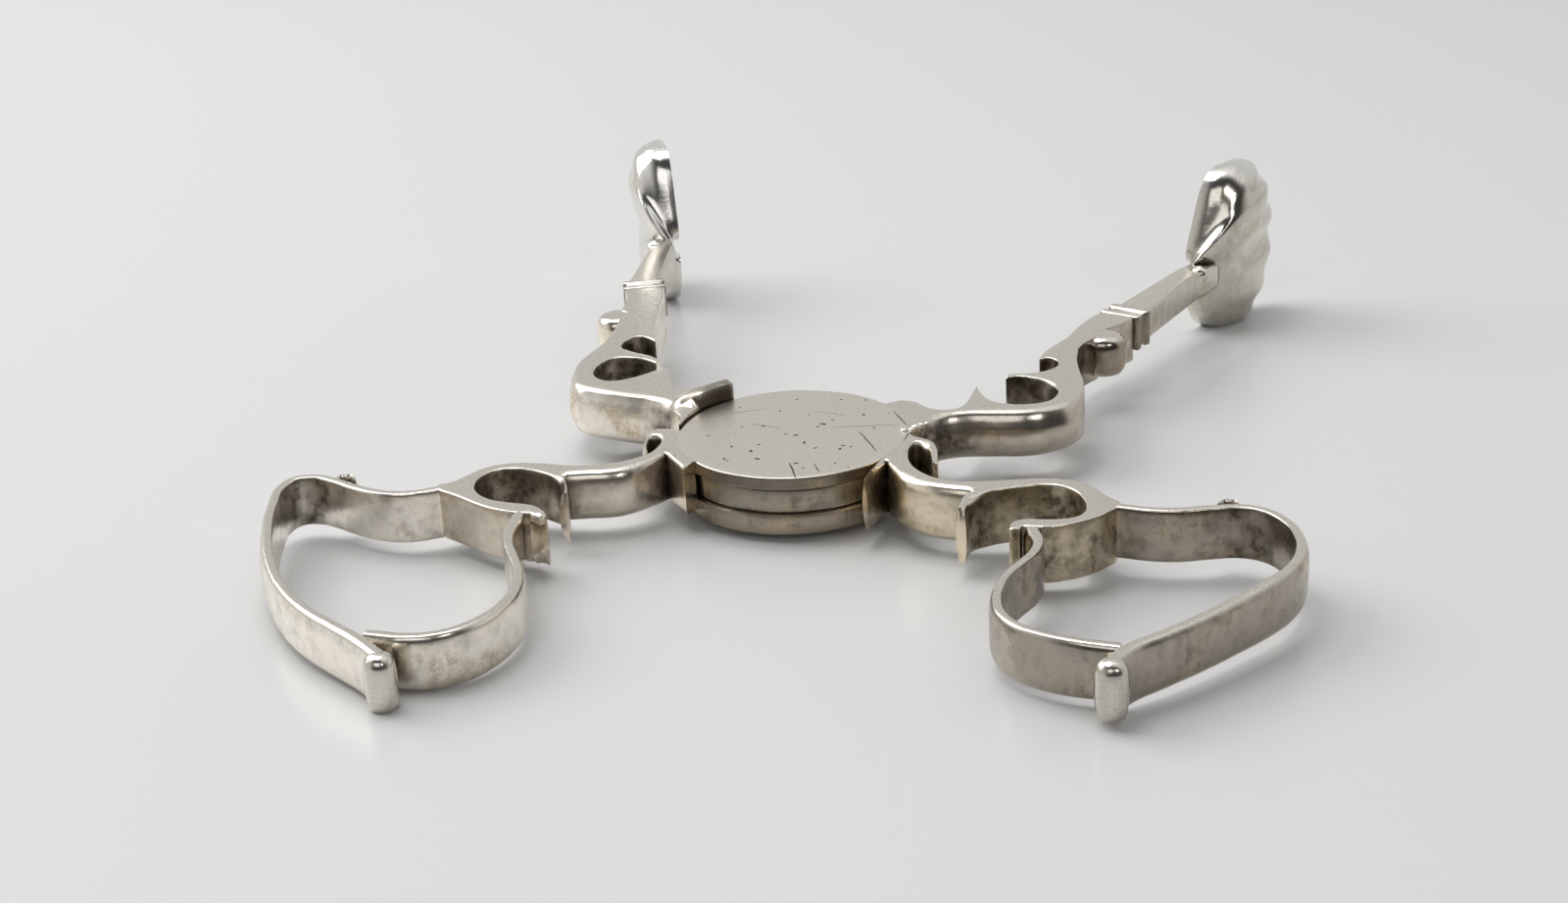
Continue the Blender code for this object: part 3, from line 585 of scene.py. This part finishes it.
# Pieces
def add_piece(name, shape, look, body, nodes, sharp=40, inward=None, sign=1):
    """A finished piece: its mesh in metres, its look, its body and the solids it stands for.

    A sign of -1 mirrors it to the left side. Inward holds the shares of painted shade of its first points, or
    of all; a negative share marks polish rubbed bright.
    """
    verts, faces = shape
    if sign < 0:
        faces = [face[::-1] for face in faces]
    mesh = bpy.data.meshes.new(name)
    mesh.from_pydata([(sign * x * MM, y * MM, z * MM) for x, y, z in verts], [], faces)
    if inward:
        inward = inward + [0.0] * (len(verts) - len(inward))
        mesh.attributes.new("inward", "FLOAT", "POINT").data.foreach_set("value", inward)
    mesh.validate()
    mesh.materials.append(finish[look])
    mesh.shade_smooth()
    mesh.set_sharp_from_angle(angle=radians(sharp))
    piece = link_object(name, mesh)
    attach(piece, body)
    if nodes:
        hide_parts(*nodes)


def drop(depth, radius):
    """How far a rounded edge falls at a distance in from the outline."""
    gap = np.clip(radius - depth, 0, radius)
    return radius - np.sqrt(np.clip(radius * radius - gap * gap, 0, None))


def filled(loop, normals, radius, fill):
    """A plan loop's points with rows along its eased edge and a loose grid, their triangles and its rim."""
    groups = [loop]
    for share in (0.22, 0.55, 1.0):
        row = loop - normals * (radius * share)[:, None]
        gap, near = distances(row, loop)
        groups.append(row[(radius > 0.05) & (gap > 0.96 * radius * share) & inside(row, loop)])
    lows, highs = loop.min(0), loop.max(0)
    cells = []
    row = 0
    level = lows[1]
    while level < highs[1]:
        start = lows[0] + (row % 2) * fill / 2
        cells += [(at, level) for at in np.arange(start, highs[0], fill)]
        level += fill * 0.866
        row += 1
    cells = np.array(cells)
    cells = cells[inside(cells, loop)]
    gap, near = distances(cells, loop)
    groups.append(cells[gap > radius[near] + 0.3])
    points = [Vector(p) for p in np.concatenate(groups)]
    found = delaunay_2d_cdt(points, [], [list(range(len(loop)))], 1, 1e-4)
    where = {origin: i for i, origins in enumerate(found[3]) for origin in origins}
    return np.array([tuple(p) for p in found[0]]), found[2], [where[i] for i in range(len(loop))]


def slab(loop, low, high, ease, bulge, sign=1, fill=0.7):
    """An upright casting over an anticlockwise loop: eased edges, a lively wall and a nearly flat top."""
    normals = side_normals(loop, True)
    radius = np.array([ease(p) for p in loop])
    swell = np.array([bulge(p, n) for p, n in zip(loop, normals)])
    flat, triangles, rim = filled(loop, normals, radius, fill)
    gap, near = distances(flat, loop)
    gap[rim] = 0
    fall = drop(gap, radius[near])

    # Shares of painted shade on the inward-curving parts of the wall and its edge
    inward = concave_shares(loop)
    shares = [inward[n] if g < 0.2 else 0.0 for n, g in zip(near, gap)] * 2
    verts = [(px, py, high - f + top_wave(sign * px, py)) for (px, py), f in zip(flat, fall)]
    verts += [(px, py, low + f) for (px, py), f in zip(flat, fall)]
    size = len(flat)
    faces = []
    for a, b, c in triangles:
        faces += [(a, b, c), (c + size, b + size, a + size)]
    rows = [rim]
    steps = 7
    for k in range(1, steps):
        t = k / steps
        rows.append(list(range(len(verts), len(verts) + len(loop))))
        for (px, py), (nx, ny), r, s in zip(loop, normals, radius, swell):
            z = high - r + (low + r - high + r) * t
            out = s * (1 - (2 * t - 1) ** 2) + 0.05 * grain(px, py, z, 0.35, 7.7)
            verts.append((px + nx * out, py + ny * out, z))
        shares += list(inward)
    rows.append([i + size for i in rim])
    for upper, lower in zip(rows, rows[1:]):
        faces += quads(upper, lower)
    return (verts, faces), shares


def quads(a, b, closed=True, flip=False):
    """Faces between two rows of point numbers."""
    faces = []
    for k in range(len(a) if closed else len(a) - 1):
        m = (k + 1) % len(a)
        faces.append((a[k], a[m], b[m], b[k]) if flip else (a[k], b[k], b[m], a[m]))
    return faces


def lathe(profile, steps, centre=(0, 0), wobble=None):
    """A body turned about an upright axis; the profile runs from the top down its outer side."""
    verts, faces, rings = [], [], []
    for r, z in profile:
        ring = range(len(verts), len(verts) + (steps if r else 1))
        for k in range(len(ring)):
            a = 2 * pi * k / steps
            rr = r + (wobble(a, r, z) if wobble and r else 0)
            verts.append((centre[0] + rr * cos(a), centre[1] + rr * sin(a), z))
        rings.append(ring)
    for a, b in zip(rings, rings[1:]):
        if len(a) == 1:
            faces += [(a[0], b[k], b[(k + 1) % steps]) for k in range(steps)]
        elif len(b) == 1:
            faces += [(a[k], b[0], a[(k + 1) % steps]) for k in range(steps)]
        else:
            faces += quads(a, b)
    return verts, faces


def join(*parts):
    verts, faces = [], []
    for v, f in parts:
        base = len(verts)
        verts += v
        faces += [tuple(i + base for i in face) for face in f]
    return verts, faces


def ball(x, y, middle, radius, half_height, rows, steps):
    """A turned bead, round in plan."""
    angles = [pi * k / rows for k in range(1, rows)]
    bead = [(radius * sin(a), middle + half_height * cos(a)) for a in angles]
    return lathe([(0, middle + half_height)] + bead + [(0, middle - half_height)], steps, (x, y))


def near_root(point):
    """True beside the two castings that are soldered flush to the cover."""
    angle = degrees(atan2(point[1], point[0])) % 360
    return 180 < angle < 226 or angle < 48


def loft(rows):
    """A closed body through rows of points, each row a closed loop."""
    count = len(rows[0])
    index = [range(i * count, (i + 1) * count) for i in range(len(rows))]
    faces = []
    for a, b in zip(index, index[1:]):
        faces += quads(a, b, flip=True)
    faces += [tuple(index[0])[::-1], tuple(index[-1])]
    return [point for row in rows for point in row], faces


def bar(centre, forward, width, height, level, corner):
    """A rounded rectangular section across a plan direction."""
    side_way = vec(forward[1], -forward[0])
    section = []
    for cx, cz, start in ((1, 1, 0), (-1, 1, 90), (-1, -1, 180), (1, -1, 270)):
        for k in range(4):
            a = radians(start + 30 * k)
            u = cx * (width / 2 - corner) + corner * cos(a)
            w = cz * (height / 2 - corner) + corner * sin(a)
            p = centre + side_way * u
            section.append((p[0], p[1], level + w))
    return section


def disc_cover():
    """The cover: a satin disc with an eased, slightly dented rim."""
    dent, soldered_edge, worn_edge = 0.016, 0.01, 0.14
    angles = np.linspace(0, 2 * pi, 320, endpoint=False)
    loop = np.stack([np.cos(angles), np.sin(angles)], 1) * plate_radius
    dents = [0 if near_root(p) else dent * grain(p[0], p[1], 0, 0.5, 1.0) for p in loop]
    loop *= (1 + np.array(dents) / plate_radius)[:, None]

    def ease(p):
        return soldered_edge if near_root(p) else worn_edge
    return slab(loop, cover_low, cover_high, ease, lambda p, n: 0.0, fill=0.55)[0]


def slip(start, end, width):
    """A slip of a tool: a thin dark ridge that swells in its middle."""
    run = end - start
    along = unit(run)
    across = vec(along[1], -along[0])
    steps = max(6, int(norm(run) / 0.25))
    rows = []
    for k in range(steps + 1):
        t = k / steps
        thin = 0.68 * width * (0.15 + 0.85 * sin(pi * min(0.04 + t * 0.94, 1)) ** 0.6)
        centre = start + run * t + across * 0.04 * grain(start[0] + 3 * t, start[1], t, 1.5)
        level = cover_high + top_wave(*centre)
        rows.append([(*(centre + across * thin), level + 0.004), (*centre, level + 0.012),
                     (*(centre - across * thin), level + 0.004), (*centre, level - 0.02)])
    return loft(rows)


def pit(px, py, size):
    """A dark fleck for a casting pit, painted shade, longer than it is wide."""
    tilt = 3 * grain(px, py, 0, 1.7)
    level = cover_high + top_wave(px, py)
    verts, faces = lathe([(0, 0.012), (0.5, 0.011), (1, 0.003), (0.6, -0.02), (0, -0.02)], 10,
                         wobble=lambda a, r, z: 0.3 * r * grain(cos(a), sin(a), px, 1.3, py))
    spots = [turned(vec(x * size * 1.25, y * size * 0.68), tilt) for x, y, _ in verts]
    return [(px + s[0], py + s[1], level + z) for s, (_, _, z) in zip(spots, verts)], faces


def worn_marks():
    """Slips of a tool and casting pits on the cover, drawn as dark marks a hair proud of the disc; the pits'
    dark is painted shade.
    """
    slips = [slip(vec(*start), vec(*end), width) for start, end, width in slip_lines]
    return join(*slips, *[pit(*place) for place in pit_places])


def filed_rim(low, high, radius, seed, edge):
    """A round plate whose rim keeps fine upright file marks."""
    def wobble(angle, r, z):
        if r < radius - 2 * edge:
            return 0
        return 0.03 * grain(90 * angle, 0, z * 0.3, 1.0, seed) + 0.03 * grain(5 * angle, 0, z, 1.0, seed)
    turn = 0.3 * edge
    profile = [(0, high), (radius * 0.6, high), (radius - edge, high), (radius - turn, high - turn),
               (radius, high - edge), (radius, (low + high) / 2), (radius, low + edge),
               (radius - turn, low + turn), (radius - edge, low), (radius * 0.6, low), (0, low)]
    return lathe(profile, 360, wobble=wobble)


def casting_points(side, root_radius, kind):
    """A scroll casting's plan outline, anticlockwise."""
    if kind == "handle":
        knots = arc_points(root_radius, handle_root_start, handle_root_ends[side], 3)
        knots += typed(handle_scroll_shares[side])
        return anticlockwise(smooth_line(knots, True, outline_spacing))
    lean = arm_leans[side]
    place = leaned(reach(*volute_place_shares[side]), lean)
    seat = arc_points(volute_radius - volute_sink, *volute_seat_angles, 4)
    knots = arc_points(root_radius, arm_root_angles[1], arm_root_angles[0], 3)
    knots += typed(arm_front_shares[side], lambda point: leaned(point, lean))
    knots += [(place + point, corner) for point, corner in seat]
    knots += typed(arm_back_shares[side], lambda point: leaned(point, lean))
    return anticlockwise(smooth_line(knots, True, outline_spacing))


def casting(side, kind, sign, root_radius, raised, body):
    """A scroll casting with crisp inner edges and a fuller outer front."""
    name = side + "_" + kind
    loop = casting_points(side, root_radius, kind)
    facing = side_normals(loop, True)
    soldered = root_radius < plate_radius
    front_ease, front_bulge = (0.79, 0.32) if kind == "arm" else (0.64, 0.16)

    def front_share(p):
        """How far a point lies on the full, rounded side that faces the handles."""
        away = smoothstep(hypot(*p), plate_radius + 0.3, plate_radius + 3.0)
        if kind == "arm":
            beside_root = smoothstep(p[0] + 0.9 * (9 - p[1]), 12, 15)
            return away * (1 - smoothstep(p[1], *arm_front_fade)) * beside_root
        return away * (1 - smoothstep(p[0], *handle_front_fade))

    def lower_side(p):
        """How far the outline's nearest point faces the handles."""
        n = facing[norm(loop - p, axis=1).argmin()]
        return smoothstep(-n[1] + 0.35 * max(n[0], 0), 0.2, 0.7)

    def ease(p):
        if soldered and hypot(*p) < plate_radius + 0.05:
            return 0.01
        start = smoothstep(hypot(*p), plate_radius, plate_radius + 1.2) if soldered else 1
        return 0.03 + 0.13 * start + front_ease * front_share(p) * lower_side(p)

    def bulge(p, n):
        return 0.02 + front_bulge * front_share(p) * smoothstep(-n[1], 0.1, 0.6)

    (verts, faces), shares = slab(loop, band_low, band_high + raised, ease, bulge, sign)
    if name == "left_arm":
        ups = [left_arm_lift * smoothstep(left_lift_reach - hypot(x, y), 0, 2.2)
               * smoothstep(y, *left_lift_fade) for x, y, z in verts]
        verts = [(x, y, z + up * smoothstep(z, band_low, band_high)) for (x, y, z), up in zip(verts, ups)]
        # Painted shade on the lifted face, which tilts toward the lamps
        shares = [max(share, 2.2 * smoothstep(up, 0.0, 0.2)) for share, up in zip(shares, ups)]
    if name == "right_handle":
        # Painted shade on the walls of the handle's outer part
        shares = [max(share, 0.7 * smoothstep(x, *right_handle_shade))
                  for share, (x, y, z) in zip(shares, verts)]
    if name == "right_arm":
        beads = [ball(x, y, band_high - 0.1, size, 0.8 * size, 8, 16) for x, y, size in solder_beads]
        verts, faces = join((verts, faces), *beads)
    add_piece(name + "_casting", (verts, faces), name, body, [name + "_scroll"], 40, shares, sign)


def band_sweep(points, thickness, flip, seed, start_run, end_run, middle):
    """A band along a plan line, run on at both ends into what it is soldered to; flip turns it over."""
    half = (band_high - band_low) / 2
    line = smooth_line(typed(points), False, band_spacing)
    first, last = line[0] - line[1], line[-1] - line[-2]
    line = np.concatenate([[line[0] + unit(first) * start_run], line])
    if end_run:
        line = np.concatenate([line, [line[-1] + unit(last) * end_run]])
    end = len(line) - 1
    centre = line.mean(0)
    rows, shares = [], []
    for i, ((px, py), (nx, ny)) in enumerate(zip(line, side_normals(line, False))):
        share = i / end
        calm = smoothstep(min(share, 1 - share), 0.02, 0.15)
        thick = thickness * (1 + 0.12 * grain(px, py, 0, 0.13, seed)) * (1 - 0.10 * sin(pi * share))
        tall = half * (1 + 0.03 * calm * grain(px, py, 5, 0.10, seed))
        lift = 0.07 * calm * grain(px, py, 9, 0.08, seed)
        turn = 0.0
        if 0 < i < end:
            before, after = line[i] - line[max(i - 5, 0)], line[min(i + 5, end)] - line[i]
            inwards = centre - line[i]
            turn = cross(before, after) / norm(before) / norm(after)
            turn *= copysign(1, cross(after, inwards))
        curl = 0.15 + 0.65 * smoothstep(turn, 0.05, 0.55)
        row = []
        for k in range(28):
            c, s = heading(2 * pi * k / 28)
            # Painted shade on the band's flat inner side, stronger where the band curls
            shares.append(curl * smoothstep(-c, 0.1, 0.7))
            across = copysign(abs(c) ** (0.8 if c > 0 else 0.22), c) * 0.5
            up = copysign(abs(s) ** (0.55 if c > 0 else 0.25), s)
            out = flip * (across * thick + 0.02 * grain(px, py, up * tall, 0.9, seed))
            row.append((px + nx * out, py + ny * out, middle + lift + up * tall))
        rows.append(row)
    verts, faces = loft(rows)
    if flip > 0:
        faces = [face[::-1] for face in faces]
    return (verts, faces), shares, line[-1]


def curled_spur(place, middle):
    """A small tapered spur that curls over beside an outer band."""
    rows = []
    for k in range(13):
        turn = pi * 1.15 * k / 12
        at = vec(*place) + vec(-spur_curl * cos(turn), spur_curl * sin(turn) - 0.2)
        size = 0.42 - 0.016 * k
        row = [(at[0] + size * cos(a) * cos(turn), at[1] - size * cos(a) * sin(turn),
                middle + spur_lift + spur_half_height * sin(a))
               for a in np.linspace(0, 2 * pi, 16, endpoint=False)]
        rows.append(row[::-1])
    return loft(rows)


def ring_bands(side, sign, raised, body):
    """The two bands of a finger ring and the rolled knob."""
    name = side + "_ring"
    middle = (band_low + band_high) / 2 + raised
    band, shares, end = band_sweep(ring_inner_shares[side], inner_band_thickness, 1, 2.0, 0.5, 0.9, middle)
    add_piece(name + "_inner", band, name, body, [name + "_inner_band"], 40, shares, sign)

    band, shares, end = band_sweep(ring_outer_shares[side], outer_band_thickness, -1, 4.0, 0.7, 0.0, middle)
    outline = [(r * knob_radius, middle - knob_drop + z * knob_half_height) for r, z in knob_profile_shares]
    knob = lathe(outline, 40, end, lambda a, r, z: 0.05 * grain(3 * cos(a), 3 * sin(a), z, 0.8))
    shares += [-0.8] * len(knob[0])
    shape = join(band, knob, curled_spur(spur_places[side], middle))
    add_piece(name + "_outer", shape, name, body, [name + "_outer_band"], 40, shares, sign)


def volute(side, sign, raised, body):
    """The plump rolled end on the arm's outer side."""
    place = leaned(reach(*volute_place_shares[side]), arm_leans[side])
    middle = band_middle + raised
    outline = [(r * volute_radius, middle + z * volute_half_height) for r, z in volute_profile_shares]
    ball_end = lathe(outline, 64, place)
    add_piece(side + "_volute", ball_end, side + "_volute", body, [side + "_arm_volute"], sign=sign)


def collar_and_shank(side, sign, raised, body):
    """The collar of two mouldings and the tapered bar between it and the shell's stem."""
    lean = arm_leans[side]
    level = band_middle + raised + arm_rise
    along = heading(collar_angle + lean)
    first = leaned(reach(*collar_place_shares[side]), lean)
    rows = []
    for step, up in collar_shares:
        cut = 0.7 * (1 - up)
        spot = first + along * (0.05 + step * collar_length)
        rows.append(bar(spot, along, collar_width - cut, collar_height - 0.6 * cut, level, 0.2))
    add_piece(side + "_collar", loft(rows), "collar", body, [side + "_arm_collar"], 55, sign=sign)

    shell_along, shell_out, reach_out = shell_axes(side)
    stem = shell_along * (reach_out - stem_length) + shell_out * stem_offset
    root = first + along * (collar_length - 0.1)
    rows = []
    steps = 24
    for i in range(steps + 1):
        t = i / steps
        way = along * (1 - t) + shell_along * t
        width, height = np.array(shank_root) + (np.array(shank_end) - shank_root) * t
        rows.append(bar(root + (stem - root) * t, unit(way), width, height, level, bar_corner))
    add_piece(side + "_shank", loft(rows), "shank", body, [side + "_arm_shank"], 50, sign=sign)


def shell_axes(side):
    """A shell's plan directions, along the grip and outward, and its root's distance from the pivot."""
    along = heading(rim_angle + shell_leans[side])
    collar_out, collar_forward = collar_place_shares["left"]
    start = hypot(plate_radius + collar_out * module, collar_forward * module)
    return along, vec(along[1], -along[0]), start + collar_length + shank_length + stem_length


def hump(fan, where, fan_middle, where_middle, fan_width, where_width):
    """A smooth hump of height 1 on a shell, by its shares across the fan and from root to rim."""
    return exp(-((fan - fan_middle) / fan_width) ** 2 - ((where - where_middle) / where_width) ** 2)


def shell_place(fan, where, inset):
    """A point on a shell's skin: its distances from the root along the grip, upward and outward."""
    length = shell_length - 2 * inset
    half_width = shell_width / 2 - inset - 0.03
    half_stem = stem_half_share * shell_width - inset
    round_share = sqrt(where * (2 - where))
    spread = fan * shell_fan
    flutes = (1 - cos(2 * pi * 4 * fan)) / 2
    scallop = rim_scallop * (flutes - 0.5) * where ** 4
    far = inset + where * (length * (1 - rim_round_share + rim_round_share * cos(spread)) + scallop)
    far -= flank_hollow * hump(fan, where, 0.24, 0.2, 0.24, 0.25)
    slim = round_share * (1 - 0.45 * smoothstep(fan, 0.1, 0.9) * exp(-(where / 0.25) ** 2))
    up = half_stem * fan * (1 - where) + (half_width * sin(spread) + shell_rise) * slim
    swell = sqrt(1 - (1 - min(where / 0.6, 1)) ** 2)
    bowl = sqrt(max(1 - fan * fan, 0)) * (0.22 + 0.78 * swell)
    bowl *= 1 - where ** 5
    ripple = flute_height * where * where * flutes + 0.10 * where * grain(far, up, 0, 0.45, 6.0)
    lobe = hump(fan, where, 0.48, 0.45, 0.32, 0.32)
    valley = hump(fan, where, -0.02, 0.62, 0.15, 0.3)
    out = bowl * (1 + 0.22 * lobe - 0.24 * valley) * (shell_depth - inset) + ripple * (1 - abs(fan) ** 6)
    return far, up, out


def shell(side, sign, raised, body):
    """The scalloped grip: a full smooth lobe above the stem and flutes that fan out to the rim."""
    along, out_way, reach_out = shell_axes(side)
    level = band_middle + raised + arm_rise
    origin = along * reach_out
    rows_count, columns = 48, 128
    verts, grids = [], []
    for inset in (0.0, shell_wall):
        grid = []
        for i in range(rows_count + 1):
            where = 1 - cos(pi / 2 * i / rows_count)
            grid.append(list(range(len(verts), len(verts) + columns + 1)))
            for j in range(columns + 1):
                far, up, out = shell_place(2 * j / columns - 1, where, inset)
                p = origin + along * far + out_way * out
                verts.append((p[0], p[1], level + up))
        grids.append(grid)
    faces, borders = [], []
    for way, grid in zip((1, -1), grids):
        for upper, lower in zip(grid, grid[1:]):
            faces += [face[::way] for face in quads(upper, lower, closed=False)]
        first_side = [row[0] for row in grid]
        last_side = [row[-1] for row in grid]
        borders.append(grid[0] + last_side[1:] + grid[-1][-2::-1] + first_side[-2:0:-1])
    between = []
    centre = np.array([verts[i] for i in borders[1]]).mean(0)
    for a, b in zip(*borders):
        middle = (np.array(verts[a]) + verts[b]) / 2
        between.append(len(verts))
        verts.append(tuple(middle + unit(middle - centre) * shell_edge_roll))
    for pair in zip(quads(borders[0], between, flip=True), quads(between, borders[1], flip=True)):
        faces += pair

    stem = along * (reach_out - stem_length) + out_way * stem_offset
    rows = [bar(stem + along * (heel_length * t - 0.1), along, heel_width * scale, heel_height * scale, level,
                bar_corner * scale)
            for t, scale in ((0.0, 1.0), (0.3, 1.0), (0.6, 0.95), (0.85, 0.85), (1.0, 0.7))]
    spot = stem + along * 0.9 + out_way * 0.7
    knuckle = ball(spot[0], spot[1], level + 0.95, knuckle_radius, knuckle_half_height, 10, 24)
    shape = join((verts, faces), loft(rows), knuckle)
    add_piece(side + "_shell", shape, side + "_shell", body, [side + "_shell_grip"], 70, sign=sign)


def build():
    """Every piece of the tongs, in place of the plain solids."""
    add_piece("cover_disc", disc_cover(), "disc", "box_half", ["box_cover_plate"])
    add_piece("cover_marks", worn_marks(), "mark", "box_half", [])
    floor_disc = filed_rim(0.0, floor_top, plate_radius, 1.0, 0.12)
    add_piece("floor_disc", floor_disc, "plate", "box_half", ["box_floor_plate"])
    tongue_disc = filed_rim(tongue_low, tongue_high, plate_radius - tongue_setback, 5.0, 0.1)
    add_piece("tongue_disc", tongue_disc, "slot", "tongue_half", ["tongue_plate"])
    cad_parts["pivot_pin"].data.materials[0] = finish["slot"]
    soldered = plate_radius - solder_overlap, 0, "box_half"
    free = plate_radius + rim_play, rise, "tongue_half"
    for side, kind, sign, (radius, raised, body) in (
            ("left", "handle", -1, soldered), ("right", "arm", 1, soldered),
            ("right", "handle", 1, free), ("left", "arm", -1, free)):
        casting(side, kind, sign, radius, raised, body)
        if kind == "handle":
            ring_bands(side, sign, raised, body)
        else:
            volute(side, sign, raised, body)
            collar_and_shank(side, sign, raised, body)
            shell(side, sign, raised, body)


build()


# Stage
def place_camera():
    """The camera at the photograph's place."""
    photo_lens = 53.687
    eye = Vector((0.0420, -0.1831, 0.0826))
    look = Vector((-0.2101, 0.8972, -0.3884)).normalized()
    up = Vector((-0.0345, 0.3902, 0.9201))
    right = look.cross(up).normalized()
    up = right.cross(look).normalized()
    camera_data = bpy.data.cameras.new("camera")
    camera_data.lens = photo_lens
    camera_data.sensor_width = 36
    camera_data.clip_start = 0.01
    camera = link_object("camera", camera_data)
    camera.matrix_world = Matrix.Translation(eye) @ Matrix((right, up, -look)).transposed().to_4x4()
    bpy.context.scene.camera = camera


def table_top():
    """A glossy pale table that touches both knobs and both shells, and levels off further away."""
    level, slope = -0.00112, -0.0413
    tilted_reach, levelling = 0.1, 0.06
    outer_ys = [0.16, 0.25, 0.4, 0.8, 1.5, 3]
    ys = sorted({round(y, 3) for y in [*np.linspace(-tilted_reach, tilted_reach, 9), *outer_ys]}
                | {-y for y in outer_ys})
    xs = [-3, -1, -0.3, -0.1, 0, 0.1, 0.3, 1, 3]
    verts, rows = [], []
    for y in ys:
        past = max(abs(y) - tilted_reach, 0)
        run = copysign(min(abs(y), tilted_reach) + levelling * (1 - exp(-past / levelling)), y)
        rows.append(range(len(verts), len(verts) + len(xs)))
        verts += [(x, y, level + slope * run) for x in xs]
    faces = [face for a, b in zip(rows, rows[1:]) for face in quads(a, b, closed=False, flip=True)]
    mesh = bpy.data.meshes.new("table_top")
    mesh.from_pydata(verts, [], faces)
    mesh.shade_smooth()
    table = link_object("table_top", mesh)
    material, shader = new_material("table_gloss")
    feed_all(shader, Base_Color=(0.60, 0.60, 0.597), Roughness=0.28, Specular_IOR_Level=0.28)
    mesh.materials.append(material)


def add_lamp(name, size, power, place, aim):
    lamp_data = bpy.data.lights.new(name, "AREA")
    lamp_data.shape = "RECTANGLE"
    lamp_data.size, lamp_data.size_y = size
    lamp_data.energy = power
    lamp = link_object(name, lamp_data)
    lamp.location = place
    lamp.rotation_euler = (Vector(aim) - Vector(place)).to_track_quat("-Z", "Y").to_euler()


def studio():
    """Soft boxes above, on the left, right and in front, in a room that is dim behind the camera."""
    add_lamp("overhead_softbox", (0.36, 0.24), 1.2, (-0.12, 0.10, 0.55), (0, 0.02, 0))
    add_lamp("left_softbox", (0.50, 0.40), 2.35, (-0.50, 0.16, 0.40), (0, 0, 0.005))
    add_lamp("right_softbox", (0.15, 0.13), 0.22, (0.33, -0.34, 0.34), (0.01, 0.03, 0.005))
    add_lamp("front_softbox", (0.42, 0.26), 0.42, (-0.03, -0.50, 0.40), (0, 0.02, 0.005))
    dim, pale, ceiling = (0.05, 0.05, 0.052), (0.66, 0.66, 0.655), (0.95, 0.95, 0.95)
    world = bpy.data.worlds.new("room")
    bpy.context.scene.world = world
    world.use_nodes = True
    tree = world.node_tree
    way = node(tree, "ShaderNodeSeparateXYZ", Vector=node(tree, "ShaderNodeTexCoord").outputs["Generated"])
    beyond = spread_node(tree, way.outputs["Y"], -0.30, 0.20)
    left = spread_node(tree, way.outputs["X"], -0.35, -0.85)
    wall = mix_colours(tree, math_node(tree, "MAXIMUM", beyond, left), dim, pale)
    above = math_node(tree, "MULTIPLY", spread_node(tree, way.outputs["Z"], 0.55, 0.9), beyond)
    feed_all(tree.nodes["Background"], Color=mix_colours(tree, above, wall, ceiling), Strength=1.0)
    bpy.context.scene.view_settings.view_transform = "Standard"


place_camera()
table_top()
studio()
